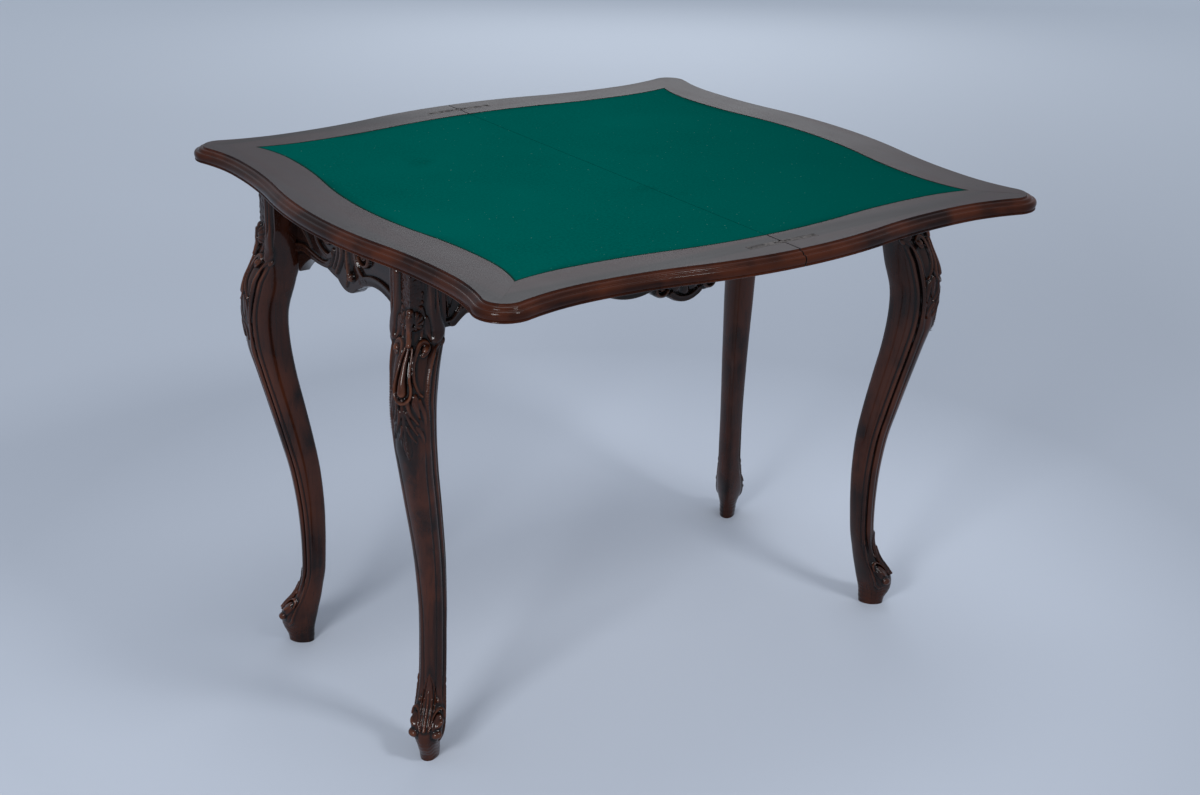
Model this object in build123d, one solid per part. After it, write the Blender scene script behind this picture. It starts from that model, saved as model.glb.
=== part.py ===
from build123d import *
import math
import os

os.makedirs("parts", exist_ok=True)

# Swivel and flip-top card table in the Louis XV taste, standing open for play.
# +Z is up. The origin is on the floor under the middle of the frame. X runs along the
# frame's long side and Y across it. The fold of the open top lies on the Y axis: the
# leaf that turns on the frame is at +X and the leaf that folds over it is at -X.

# Overall heights and the leaves
table_height = 750.0
leaf_thickness = 21.0
baize_thickness = 1.0
fold_gap = 2.0
fold_arris = 0.6
glide_thickness = 1.2
running_gap = 0.3
joint_gap = 0.15
overrun = 5.0

# Plan of the top: reach of the flat border from the middle of the open top, how far the
# waists and the ears stand back from that reach, and how far a waist lies before the ear
end_reach = 462.0
end_waist_depth = 30.0
end_waist_to_ear = 95.0
side_reach = 448.0
side_waist_depth = 32.0
side_waist_to_ear = 109.0
ear_setback = 16.0
ear_radius = 27.0
bead_reach = 14.5
quirk_depth = 2.6
bead_top_radius = 9.0
bead_foot_bevel = 4.0

# Plan of the baize: width of the border beside it, its waists and its pointed corners
border_width = 67.0
baize_end_waist_depth = 28.0
baize_side_waist_depth = 24.0
baize_corner_setback = 14.0
baize_waist_to_corner = 82.0
tongue_reach = 8.0
tongue_thickness = 6.0

# Dog-bone card-table hinges, let into the border at both ends of the fold
hinge_inset = 35.0
hinge_plate_length = 56.0
hinge_plate_width = 11.0
hinge_plate_thickness = 2.0
hinge_pin_radius = 0.9
hinge_pin_depth = 2.4
hinge_pin_setback = 3.2
hinge_pin_gap = 0.04
knuckle_radius = 2.2
knuckle_block = 5.4
link_width = 5.0
link_gap = 0.2
seat_gap = 0.1
hinge_screw_radius = 1.4
hinge_screw_head = 2.7
hinge_screw_length = 11.0
hinge_screw_slot = 0.5

# Frame: four corner posts, which are the tops of the legs, and four aprons
end_overhang = 16.5
side_overhang = 16.25
post_side = 52.0
post_height = 92.0
apron_thickness = 18.0
long_apron_setback = 14.0
short_apron_setback = 34.0
relief = 6.0
tenon_length = 18.0
tenon_thickness = 8.0
tenon_height = 52.0
tenon_foot = 66.0
long_pendant_drop = 121.5
short_pendant_drop = 102.5
edge_band_width = 9.0
edge_band_relief = 3.0
long_shell_radius = 34.0
short_shell_radius = 40.0
petal_gap = 1.5

# Card well inside the frame
well_depth = 37.5
floor_thickness = 6.0
cleat_side = 14.0
corner_block_leg = 60.0
corner_screw_station = 36.0
corner_block_height = 36.0
block_screw_radius = 2.0
block_screw_head = 4.0
block_screw_length = 31.0

# Swivel
rail_width = 70.0
rail_thickness = 20.0
rail_housing = 9.0
pivot_radius = 8.0
pivot_gap = 0.05
pivot_head_radius = 14.0
pivot_head_thickness = 3.0
bush_wall = 4.0
bush_flange_radius = 19.0
bush_flange_thickness = 2.4
pivot_plate_length = 84.0
pivot_plate_width = 60.0
pivot_plate_thickness = 3.0
plate_screw_inset = 11.0
plate_screw_radius = 2.2
plate_screw_head = 4.2
plate_screw_length = 15.0
washer_radius = 17.0
washer_thickness = 2.0
nut_across_flats = 24.0
nut_thickness = 8.0
pin_tail = 2.0
stop_radius = 6.0
stop_seat = 11.0
stop_drop = 19.0
stop_gap = 0.2

# Levels and places that follow
leaf_foot = table_height - leaf_thickness
frame_top = leaf_foot - running_gap - glide_thickness
leg_height = frame_top
post_foot = leg_height - post_height
well_top = frame_top - well_depth
floor_foot = well_top - floor_thickness
closed_half_depth = (end_reach + bead_reach) / 2
foot_x = side_reach + bead_reach - end_overhang - post_side / 2
foot_y = closed_half_depth - side_overhang - post_side / 2
long_apron_face = foot_y + post_side / 2 - long_apron_setback
short_apron_face = foot_x + post_side / 2 - short_apron_setback
long_inner = long_apron_face - apron_thickness
short_inner = short_apron_face - apron_thickness
post_inner_x = foot_x - post_side / 2
post_inner_y = foot_y - post_side / 2
half_gap = fold_gap / 2
pivot_x = closed_half_depth / 2
pivot_y = closed_half_depth / 2
rail_foot = frame_top - rail_thickness
hinge_level = table_height - hinge_pin_depth
hinge_station = side_reach - hinge_inset
baize_end = end_reach - border_width
baize_side = side_reach - border_width
ear_x = end_reach - ear_setback - ear_radius
ear_y = side_reach - ear_setback - ear_radius


def save(shape, name):
    solids = shape.solids()
    body = solids[0] if len(solids) == 1 else Compound(children=solids)
    export_step(body, "parts/" + name + ".step")


def slab(face, low, high):
    return extrude(face.moved(Location((0, 0, low))), high - low, dir=(0, 0, 1))


def polygon_face(points):
    return Face(Wire.make_polygon([(x, y, 0) for x, y in points]))


def block(x0, x1, y0, y1, z0, z1):
    centre = ((x0 + x1) / 2, (y0 + y1) / 2, (z0 + z1) / 2)
    return Location(centre) * Box(x1 - x0, y1 - y0, z1 - z0)


def disc(x, y, radius, low, high):
    return Location((x, y, (low + high) / 2)) * Cylinder(radius, high - low)


def rod_y(x, z, radius, y0, y1):
    return Location((x, (y0 + y1) / 2, z), (90, 0, 0)) * Cylinder(radius, y1 - y0)


screw_sides = 6
screw_point_share = 0.25


def regular(x, y, radius):
    """Corners of an outline with a screw's few sides."""
    turns = [2 * math.pi * number / screw_sides for number in range(screw_sides)]
    return [(x + radius * math.cos(turn), y + radius * math.sin(turn)) for turn in turns]


def stack(outlines):
    """Solid with flat faces through outlines of equal count, each with its level."""
    rings = [[(x, y, z) for x, y in points] for z, points in outlines]
    faces = [Face(Wire.make_polygon(rings[0])), Face(Wire.make_polygon(rings[-1]))]
    for low, high in zip(rings, rings[1:]):
        for k in range(len(low)):
            faces.append(Face(Wire.make_polygon([low[k - 1], low[k], high[k], high[k - 1]])))
    return Solid(Shell(faces))


def screw(radius, head_radius, length):
    """Countersunk wood screw with few sides, head face at z = 0, point down."""
    levels = {
        -length: radius * screw_point_share,
        radius * 2 - length: radius,
        radius - head_radius: radius,
        0: head_radius,
    }
    return stack([(z, regular(0, 0, r)) for z, r in levels.items()])


def screw_hole(radius, head_radius, length):
    return screw(radius + joint_gap / 2, head_radius + joint_gap / 2, length + joint_gap)


def in_four_quarters(edges):
    """Closed face from the edges of the quarter x > 0, y > 0."""
    right = edges + [mirror(edge, about=Plane.XZ) for edge in edges]
    whole = right + [mirror(edge, about=Plane.YZ) for edge in right]
    return make_face(whole).face()


def serpentine(middle, depth, station):
    """Two arcs, tangent half-way, from the middle of an end (along Y) to its waist."""
    half_way = (middle - depth / 2, station / 2)
    swell = TangentArc((middle, 0), half_way, tangent=(0, 1))
    hollow = TangentArc((middle - depth, station), half_way, tangent=(0, -1))
    return [swell.edge(), hollow.edge()]


def swapped(edges):
    """The same edges for a side along X."""
    diagonal = Plane(origin=(0, 0, 0), z_dir=(1, -1, 0))
    return [mirror(edge, about=diagonal) for edge in edges]


def ear_touch(reach, station, radius):
    """Where the hollow that leaves a waist meets the ear, from the ear's centre: the waist
    lies reach beyond that centre and station before it."""
    hollow = (station**2 + reach**2 - radius**2) / (2 * (radius - reach))
    share = radius / (radius + hollow)
    return (reach + hollow) * share, station * share


def border_face(grow):
    """Outline of the top: serpentine sides, waists and rounded ears, all tangent arcs."""
    radius = ear_radius + grow
    end, side = end_reach + grow, side_reach + grow
    end_waist = (end - end_waist_depth, ear_y - end_waist_to_ear)
    side_waist = (ear_x - side_waist_to_ear, side - side_waist_depth)
    out, back = ear_touch(end_waist[0] - ear_x, end_waist_to_ear, radius)
    at_end = (ear_x + out, ear_y - back)
    out, back = ear_touch(side_waist[1] - ear_y, side_waist_to_ear, radius)
    at_side = (ear_x - back, ear_y + out)
    diagonal = radius * math.sqrt(1 / 2)
    edges = serpentine(end, end_waist_depth, end_waist[1])
    edges.append(TangentArc(end_waist, at_end, tangent=(0, 1)).edge())
    edges.append(ThreePointArc(at_end, (ear_x + diagonal, ear_y + diagonal), at_side).edge())
    edges.append(TangentArc(side_waist, at_side, tangent=(1, 0)).edge())
    edges += swapped(serpentine(side, side_waist_depth, side_waist[0]))
    return in_four_quarters(edges)


def baize_corner(grow):
    return baize_end - baize_corner_setback + grow, baize_side - baize_corner_setback + grow


def baize_face(grow):
    """Outline of the baize: two serpentine sides that meet in a pointed corner."""
    end, side = baize_end + grow, baize_side + grow
    corner = baize_corner(grow)
    plain = baize_corner(0)
    at_end = (end - baize_end_waist_depth, plain[1] - baize_waist_to_corner)
    at_side = (plain[0] - baize_waist_to_corner, side - baize_side_waist_depth)
    edges = serpentine(end, baize_end_waist_depth, at_end[1])
    edges.append(TangentArc(at_end, corner, tangent=(0, 1)).edge())
    edges.append(TangentArc(at_side, corner, tangent=(1, 0)).edge())
    edges += swapped(serpentine(side, baize_side_waist_depth, at_side[0]))
    return in_four_quarters(edges)


def moulded_blank():
    """The whole top before it is cut up: a rounded bead under a raised flat."""
    bead = slab(border_face(bead_reach), leaf_foot, table_height - quirk_depth)
    bead = fillet(bead.faces().sort_by(Axis.Z)[-1].edges(), bead_top_radius)
    bead = chamfer(bead.faces().sort_by(Axis.Z)[0].edges(), bead_foot_bevel)
    return bead + slab(border_face(0), leaf_foot, table_height)


def fold_relief():
    """Bevel along the top arris of the fold, at +X."""
    corner = [
        (half_gap - fold_arris, table_height + fold_arris),
        (half_gap + fold_arris * 2, table_height + fold_arris),
        (half_gap - fold_arris, table_height - fold_arris * 2),
    ]
    face = Plane.XZ * polygon_face(corner)
    return extrude(face, side_reach + bead_reach + overrun, both=True)


def hinge_screw_places():
    """Three screws in line, spaced over the plate behind its knuckle."""
    first = half_gap + knuckle_block + hinge_screw_head * 2
    last = half_gap + hinge_plate_length - hinge_screw_head * 2
    return [first, (first + last) / 2, last]


def knuckle_profile(grow):
    """Side view of a knuckle: round nose about the pin and a square tail."""
    nose = Location((hinge_pin_setback, hinge_level)) * Circle(knuckle_radius + grow)
    tail_end = half_gap + knuckle_block
    tail = polygon_face(
        [
            (hinge_pin_setback, hinge_level - knuckle_radius - grow),
            (tail_end + grow, hinge_level - knuckle_radius - grow),
            (tail_end + grow, table_height),
            (hinge_pin_setback, table_height),
        ]
    )
    return nose + tail


def hinge_seat(side):
    """What the border loses to one hinge plate, at +X; side is +1 or -1 along Y."""
    y = side * hinge_station
    half = hinge_plate_width / 2 + seat_gap
    top = table_height + overrun
    far = half_gap + hinge_plate_length + seat_gap
    shallow = block(0, far, y - half, y + half, table_height - hinge_plate_thickness, top)
    knuckle_far = half_gap + knuckle_block + seat_gap
    deep = block(0, knuckle_far, y - half, y + half, hinge_level - knuckle_radius, top)
    slot = link_width / 2 + link_gap
    slot_foot = hinge_level - knuckle_radius - running_gap
    cut = shallow + deep + block(0, knuckle_far, y - slot, y + slot, slot_foot, top)
    hole = screw_hole(hinge_screw_radius, hinge_screw_head, hinge_screw_length)
    for x in hinge_screw_places():
        cut += Location((x, y, table_height)) * hole
    return cut


def hinge_plate(side):
    y = side * hinge_station
    half = hinge_plate_width / 2
    strap_foot = table_height - hinge_plate_thickness
    far = half_gap + hinge_plate_length
    strap = block(half_gap + knuckle_block, far, y - half, y + half, strap_foot, table_height)
    upright = strap.edges().filter_by(Axis.Z).sort_by(Axis.X)[-2:]
    strap = fillet(upright, hinge_plate_width / 4)
    knuckle = Plane((0, y, 0), x_dir=(1, 0, 0), z_dir=(0, -1, 0)) * knuckle_profile(0)
    plate = strap + extrude(knuckle, half, both=True)
    slot = link_width / 2 + link_gap
    slot_far = hinge_pin_setback + knuckle_radius + running_gap
    foot = hinge_level - knuckle_radius - overrun
    plate -= block(0, slot_far, y - slot, y + slot, foot, table_height + overrun)
    hole_radius = hinge_pin_radius + hinge_pin_gap
    plate -= rod_y(hinge_pin_setback, hinge_level, hole_radius, y - half - overrun, y + half + overrun)
    hole = screw_hole(hinge_screw_radius, hinge_screw_head, hinge_screw_length)
    for x in hinge_screw_places():
        plate -= Location((x, y, table_height)) * hole
    return plate


def hinge_pin(side):
    y = side * hinge_station
    half = hinge_plate_width / 2 - joint_gap
    return rod_y(hinge_pin_setback, hinge_level, hinge_pin_radius, y - half, y + half)


def hinge_link(side):
    """Dog-bone with an eye for a pin of each leaf."""
    y = side * hinge_station
    bone = polygon_face(
        [
            (-hinge_pin_setback, hinge_level - knuckle_radius),
            (hinge_pin_setback, hinge_level - knuckle_radius),
            (hinge_pin_setback, hinge_level + knuckle_radius),
            (-hinge_pin_setback, hinge_level + knuckle_radius),
        ]
    )
    for x in (-hinge_pin_setback, hinge_pin_setback):
        bone += Location((x, hinge_level)) * Circle(knuckle_radius)
    upright = Plane((0, y, 0), x_dir=(1, 0, 0), z_dir=(0, -1, 0))
    link = extrude(upright * bone, link_width / 2, both=True)
    for x in (-hinge_pin_setback, hinge_pin_setback):
        hole_radius = hinge_pin_radius + hinge_pin_gap
        link -= rod_y(x, hinge_level, hole_radius, y - link_width, y + link_width)
    return link


def hinge_screws():
    """The six screws of one leaf's two hinge plates, heads flush and slotted."""
    one = screw(hinge_screw_radius, hinge_screw_head, hinge_screw_length)
    slot = Box(hinge_screw_head * 2, hinge_screw_slot, hinge_screw_slot * 2)
    one -= slot
    places = [(x, side * hinge_station) for x in hinge_screw_places() for side in (-1, 1)]
    return Compound(children=[(Location((x, y, table_height)) * one).solid() for x, y in places])


def leaf_pieces():
    """Core, end rail, two side rails and baize of the leaf at +X."""
    reach = end_reach + bead_reach + overrun
    breadth = side_reach + bead_reach + overrun
    half_space = block(half_gap, reach, -breadth, breadth, leaf_foot - overrun, table_height + overrun)
    tongue_low = leaf_foot + (leaf_thickness - baize_thickness - tongue_thickness) / 2
    tongue_high = tongue_low + tongue_thickness
    groove = slab(baize_face(tongue_reach), tongue_low - joint_gap, tongue_high + joint_gap)
    panel = slab(baize_face(0), leaf_foot - overrun, table_height + overrun)
    ring = moulded_blank() & half_space
    ring = ring - panel - groove

    corner = baize_corner(0)
    far = (corner[0] + (ear_x - corner[0]) * 4, corner[1] + (ear_y - corner[1]) * 4)
    end_zone = [(0, 0), corner, far, (far[0], -far[1]), (corner[0], -corner[1])]
    end_rail = ring & slab(polygon_face(end_zone), leaf_foot - overrun, table_height + overrun)
    side_rails = {}
    for side in (-1, 1):
        zone = [(0, 0), (corner[0], side * corner[1]), (far[0], side * far[1]), (0, side * far[1])]
        rail = ring & slab(polygon_face(zone), leaf_foot - overrun, table_height + overrun)
        side_rails[side] = rail - fold_relief() - hinge_seat(side)

    core = slab(baize_face(-joint_gap), leaf_foot, table_height - baize_thickness)
    core += slab(baize_face(tongue_reach - joint_gap), tongue_low, tongue_high)
    core = core & half_space
    baize = slab(baize_face(-running_gap), table_height - baize_thickness, table_height)
    baize_edge = half_gap + fold_arris
    baize = baize & block(baize_edge, reach, -breadth, breadth, leaf_foot, table_height + overrun)
    return core, end_rail, side_rails, baize


def to_upper(shape):
    """The same piece in the leaf at -X."""
    return mirror(shape, about=Plane.YZ)


# Legs. Each station: height as a share of the post's foot level, then the outer edge, the
# inner edge and the half width along the corner's diagonal, as shares of the post's side.
leg_stations_shares = [
    (0.000, 0.34, -0.42, 0.25),
    (0.016, 0.38, -0.44, 0.27),
    (0.039, 0.60, -0.48, 0.36),
    (0.071, 0.62, -0.56, 0.43),
    (0.098, 0.42, -0.63, 0.43),
    (0.126, 0.17, -0.70, 0.41),
    (0.156, 0.02, -0.76, 0.39),
    (0.195, -0.09, -0.84, 0.385),
    (0.246, -0.12, -0.89, 0.385),
    (0.309, -0.11, -0.93, 0.385),
    (0.381, -0.05, -0.94, 0.40),
    (0.466, 0.10, -0.88, 0.43),
    (0.546, 0.35, -0.73, 0.46),
    (0.630, 0.63, -0.53, 0.50),
    (0.711, 0.91, -0.33, 0.53),
    (0.791, 1.19, -0.21, 0.57),
    (0.859, 1.27, -0.22, 0.60),
    (0.922, 1.13, -0.42, 0.62),
    (0.973, 0.90, -0.55, 0.64),
    (1.019, 0.70, -0.54, 0.65),
]
outer_face_share = 0.42
outer_crown_share = 0.05
shoulder_share = 0.47
inner_face_share = 0.22


def leg_section(station):
    """Seven-sided section with its ridged outer face towards the corner, +X here."""
    height, outer, inner, half = station
    outer, inner, half = outer * post_side, inner * post_side, half * post_side
    z = height * post_foot
    depth = outer - inner
    shoulder = inner + depth * shoulder_share
    flat = outer - depth * outer_crown_share
    side = [(flat, half * outer_face_share, z), (shoulder, half, z), (inner, half * inner_face_share, z)]
    other = [(x, -y, z) for x, y, z in reversed(side)]
    return Face(Wire.make_polygon([(outer, 0, z)] + side + other))


def leg(side_x, side_y):
    """Cabriole leg with the square post that carries the frame's joints."""
    curve = loft([leg_section(station) for station in leg_stations_shares], ruled=True)
    turn = math.degrees(math.atan2(side_y, side_x))
    whole = Location((side_x * foot_x, side_y * foot_y, 0), (0, 0, turn)) * curve
    x0, x1 = sorted((side_x * post_inner_x, side_x * (foot_x + post_side / 2)))
    y0, y1 = sorted((side_y * post_inner_y, side_y * (foot_y + post_side / 2)))
    post = block(x0, x1, y0, y1, post_foot, leg_height)
    arris = post.edges().filter_by(Axis.Z).sort_by(lambda e: abs(e.center().X) + abs(e.center().Y))[-1]
    post = fillet(arris, post_side / 6)
    whole += chamfer(post.faces().sort_by(Axis.Z)[0].edges(), post_side / 14)
    return whole - tenon("long", side_x, side_y, joint_gap) - tenon("short", side_x, side_y, joint_gap)


def tenon(apron, side_x, side_y, grow):
    """Tenon of one apron in one post; grow makes it the mortise."""
    low = leg_height - tenon_foot - grow
    high = low + tenon_height + grow * 2
    half = tenon_thickness / 2 + grow
    if apron == "long":
        y = side_y * (long_apron_face - apron_thickness / 2)
        x0, x1 = sorted((side_x * post_inner_x, side_x * (post_inner_x + tenon_length + grow)))
        return block(x0, x1, y - half, y + half, low, high)
    x = side_x * (short_apron_face - apron_thickness / 2)
    y0, y1 = sorted((side_y * post_inner_y, side_y * (post_inner_y + tenon_length + grow)))
    return block(x - half, x + half, y0, y1, low, high)


# Lower edges of the aprons from the post to the pendant, as arcs that meet at cusps: each
# arc has a start, a point it goes through and an end, which starts the next. Along, and
# down from the frame's top, as shares of the half span and of the pendant's drop.
long_edge_shares = [
    (1.000, 0.712),
    (0.965, 0.718),
    (0.929, 0.696),
    (0.905, 0.640),
    (0.876, 0.556),
    (0.711, 0.481),
    (0.520, 0.556),
    (0.343, 0.733),
    (0.155, 0.812),
    (0.125, 0.935),
    (0.079, 0.934),
]
short_edge_shares = [
    (1.000, 1.127),
    (0.859, 0.990),
    (0.718, 0.805),
    (0.500, 0.688),
    (0.290, 0.790),
    (0.210, 0.900),
    (0.140, 0.920),
]
pendant_tip_share = 1.0


def apron_outline(half_span, drop, edge_shares):
    """Lower edge in the apron's own plane, both halves and the pendant's tip."""
    edges = []
    for side in (1, -1):
        points = [(side * along * half_span, -down * drop) for along, down in edge_shares]
        for start in range(0, len(points) - 1, 2):
            edges.append(ThreePointArc(*points[start : start + 3]).edge())
    along, down = edge_shares[-1]
    foot = (along * half_span, -down * drop)
    edges.append(ThreePointArc(foot, (0, -pendant_tip_share * drop), (-foot[0], foot[1])).edge())
    return edges


def apron_board(half_span, drop, edge_shares):
    """Apron in its own frame: X along it, Y up from the frame's top, Z outwards."""
    end_level = -edge_shares[0][1] * drop
    rim = [
        Line((-half_span, end_level), (-half_span, 0)),
        Line((-half_span, 0), (half_span, 0)),
        Line((half_span, 0), (half_span, end_level)),
    ]
    lower = apron_outline(half_span, drop, edge_shares)
    face = make_face(lower + [line.edge() for line in rim]).face()
    board = extrude(face, -apron_thickness)
    band = face - face.moved(Location((0, edge_band_width)))
    clear = half_span - edge_band_relief
    band = band & (Location((0, -drop)) * Rectangle(clear * 2, drop * 2 - edge_band_width * 2))
    for piece in band.faces():
        board += extrude(piece, edge_band_relief)
    return board


shell_spread = 160.0
shell_petals = 5
petal_top_share = 0.45


def shell(radius, drop):
    """Fan of tapered petals that spread from a button above the pendant's tip."""
    button_y = -drop + radius + edge_band_relief
    step = shell_spread / shell_petals
    half = radius * math.sin(math.radians(step / 2)) - petal_gap / 2
    kite = [(relief, 0), (radius - half / 2, half), (radius, 0), (radius - half / 2, -half)]
    ridge = [(radius / 2 + (u - radius / 2) * petal_top_share, v * petal_top_share) for u, v in kite]
    petal = stack([(0, kite), (relief, ridge)])
    carving = []
    for number in range(shell_petals):
        angle = (number - (shell_petals - 1) / 2) * step - 90
        carving.append(Location((0, button_y, 0), (0, 0, angle)) * petal)
    button = [(0, regular(0, button_y, relief * 2)), (relief, regular(0, button_y, relief))]
    return carving + [stack(button)]


def long_apron(side):
    half_span = post_inner_x
    board = apron_board(half_span, long_pendant_drop, long_edge_shares)
    board += shell(long_shell_radius, long_pendant_drop)
    plane = Plane(
        origin=(0, side * long_apron_face, leg_height), x_dir=(-side, 0, 0), z_dir=(0, side, 0)
    )
    whole = plane * board
    for side_x in (-1, 1):
        whole += tenon("long", side_x, side, 0)
    y0, y1 = sorted((side * long_inner, side * (long_inner + rail_housing + joint_gap)))
    half = rail_width / 2 + joint_gap
    whole -= block(pivot_x - half, pivot_x + half, y0, y1, rail_foot - joint_gap, frame_top + overrun)
    for side_x in (-1, 1):
        whole -= block_screw_places(side_x, side)["long"] * block_screw_hole()
    return whole


def short_apron(side):
    half_span = post_inner_y
    board = apron_board(half_span, short_pendant_drop, short_edge_shares)
    board += shell(short_shell_radius, short_pendant_drop)
    plane = Plane(
        origin=(side * short_apron_face, 0, leg_height), x_dir=(0, side, 0), z_dir=(side, 0, 0)
    )
    whole = plane * board
    for side_y in (-1, 1):
        whole += tenon("short", side, side_y, 0)
        whole -= block_screw_places(side, side_y)["short"] * block_screw_hole()
    return whole


def corner_block(side_x, side_y):
    """Triangular glue block in the inner corner, bored for its two screws."""
    x, y = side_x * short_inner, side_y * long_inner
    outline = [(x, y), (x - side_x * corner_block_leg, y), (x, y - side_y * corner_block_leg)]
    one = slab(polygon_face(outline), floor_foot - corner_block_height, floor_foot)
    outline = regular(0, 0, block_screw_head + joint_gap)
    bore = stack([(0, outline), (block_screw_head * 2, outline)])
    for place in block_screw_places(side_x, side_y).values():
        one -= place * block_screw_hole()
        one -= place * bore
    return one


def block_screw_hole():
    return screw_hole(block_screw_radius, block_screw_head, block_screw_length)


def block_screw_places(side_x, side_y):
    """One screw into each apron, its head sunk below the block's long face."""
    x, y = side_x * short_inner, side_y * long_inner
    middle = floor_foot - corner_block_height / 2
    step = corner_block_height / 5
    station = corner_screw_station
    depth = corner_block_leg - station - block_screw_head
    into_short = Plane(
        origin=(x - side_x * depth, y - side_y * station, middle + step), z_dir=(-side_x, 0, 0)
    )
    into_long = Plane(
        origin=(x - side_x * station, y - side_y * depth, middle - step), z_dir=(0, -side_y, 0)
    )
    return {"short": into_short.location, "long": into_long.location}


def glide_strips():
    """Baize strips glued to the frame's top, which carry the turning leaf."""
    low, high = frame_top, frame_top + glide_thickness
    inset = apron_thickness / 6
    strips = []
    housing = rail_width / 2 + joint_gap
    for side in (-1, 1):
        y0, y1 = sorted((side * (long_inner + inset), side * (long_apron_face - inset)))
        strips.append(block(-post_inner_x, pivot_x - housing, y0, y1, low, high))
        strips.append(block(pivot_x + housing, post_inner_x, y0, y1, low, high))
        x0, x1 = sorted((side * (short_inner + inset), side * (short_apron_face - inset)))
        strips.append(block(x0, x1, -post_inner_y, post_inner_y, low, high))
    return Compound(children=[strip.solid() for strip in strips])


def pivot_rail():
    half = rail_width / 2
    reach = long_inner + rail_housing
    rail = block(pivot_x - half, pivot_x + half, -reach, reach, rail_foot, frame_top)
    bore = pivot_radius + pivot_gap + bush_wall + joint_gap
    rail -= disc(pivot_x, pivot_y, bore, rail_foot - overrun, frame_top + overrun)
    flange_seat = frame_top + glide_thickness - bush_flange_thickness
    return rail - disc(pivot_x, pivot_y, bush_flange_radius + joint_gap, flange_seat, frame_top + overrun)


def pivot_bush():
    """Flanged bush whose face stands level with the glide strips."""
    high = frame_top + glide_thickness
    bush = disc(pivot_x, pivot_y, pivot_radius + pivot_gap + bush_wall, rail_foot, high)
    bush += disc(pivot_x, pivot_y, bush_flange_radius, high - bush_flange_thickness, high)
    return bush - disc(pivot_x, pivot_y, pivot_radius + pivot_gap, rail_foot - overrun, high + overrun)


plate_top = leaf_foot + pivot_plate_thickness
washer_top = rail_foot - running_gap
washer_foot = washer_top - washer_thickness
nut_foot = washer_foot - nut_thickness


def plate_screw_places():
    along = pivot_plate_length / 2 - plate_screw_inset
    across = pivot_plate_width / 2 - plate_screw_inset
    return [(pivot_x + i * along, pivot_y + j * across) for i in (-1, 1) for j in (-1, 1)]


def plate_screw_shape(maker):
    """A screw or its hole, head down, level with the plate's underside."""
    return Rot(180, 0, 0) * maker(plate_screw_radius, plate_screw_head, plate_screw_length)


def pivot_plate():
    half_length, half_width = pivot_plate_length / 2, pivot_plate_width / 2
    plate = block(
        pivot_x - half_length, pivot_x + half_length,
        pivot_y - half_width, pivot_y + half_width, leaf_foot, plate_top,
    )
    plate = fillet(plate.edges().filter_by(Axis.Z), plate_screw_inset / 2)
    plate -= disc(pivot_x, pivot_y, pivot_radius + pivot_gap, leaf_foot - overrun, plate_top + overrun)
    for x, y in plate_screw_places():
        plate -= Location((x, y, leaf_foot)) * plate_screw_shape(screw_hole)
    return plate


def pivot_pin():
    high = plate_top + pivot_head_thickness
    pin = disc(pivot_x, pivot_y, pivot_head_radius, plate_top, high)
    pin += disc(pivot_x, pivot_y, pivot_radius, nut_foot - pin_tail, high)
    return chamfer(pin.edges().sort_by(Axis.Z)[0], pin_tail / 2)


def pivot_washer():
    washer = disc(pivot_x, pivot_y, washer_radius, washer_foot, washer_top)
    return washer - disc(pivot_x, pivot_y, pivot_radius + pivot_gap, washer_foot - overrun, washer_top + overrun)


def pivot_nut():
    hexagon = RegularPolygon(nut_across_flats / 2, 6, major_radius=False)
    nut = slab(Location((pivot_x, pivot_y)) * hexagon.face(), nut_foot, washer_foot)
    return nut - disc(pivot_x, pivot_y, pivot_radius + pivot_gap, nut_foot - overrun, washer_foot + overrun)


stop_offset = rail_width / 2 + stop_radius + stop_gap


def stop_peg(grow):
    """Peg beside the rail: it meets the same rail face open and closed."""
    x, y = pivot_x + stop_offset, pivot_y + stop_offset
    peg = disc(x, y, stop_radius + grow, leaf_foot - stop_drop, leaf_foot + stop_seat + grow)
    return peg if grow else chamfer(peg.edges().sort_by(Axis.Z)[0], stop_radius / 5)


def swivel_seats():
    """What the turning leaf's core loses to the pivot plate, the pin's head and the peg."""
    half_length = pivot_plate_length / 2 + seat_gap
    half_width = pivot_plate_width / 2 + seat_gap
    cut = block(
        pivot_x - half_length, pivot_x + half_length,
        pivot_y - half_width, pivot_y + half_width, leaf_foot - overrun, plate_top,
    )
    head_top = plate_top + pivot_head_thickness + seat_gap
    cut += disc(pivot_x, pivot_y, pivot_head_radius + seat_gap, plate_top, head_top)
    for x, y in plate_screw_places():
        cut += Location((x, y, leaf_foot)) * plate_screw_shape(screw_hole)
    return cut + stop_peg(joint_gap / 2)


# The leaves
core, end_rail, side_rails, baize = leaf_pieces()
side_names = {-1: "near", 1: "far"}
save(core - swivel_seats(), "lower_leaf_core")
save(to_upper(core), "upper_leaf_core")
save(end_rail, "lower_end_rail")
save(to_upper(end_rail), "upper_end_rail")
save(baize, "lower_baize")
save(to_upper(baize), "upper_baize")
for side, name in side_names.items():
    save(side_rails[side], "lower_" + name + "_rail")
    save(to_upper(side_rails[side]), "upper_" + name + "_rail")
plates = Compound(children=[hinge_plate(side).solid() for side in side_names])
save(plates, "lower_hinge_plates")
save(to_upper(plates), "upper_hinge_plates")
save(Compound(children=[hinge_link(side).solid() for side in side_names]), "hinge_links")
pins = Compound(children=[hinge_pin(side).solid() for side in side_names])
save(pins, "lower_hinge_pins")
save(to_upper(pins), "upper_hinge_pins")
screws = hinge_screws()
save(screws, "lower_hinge_screws")
save(to_upper(screws), "upper_hinge_screws")

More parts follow.
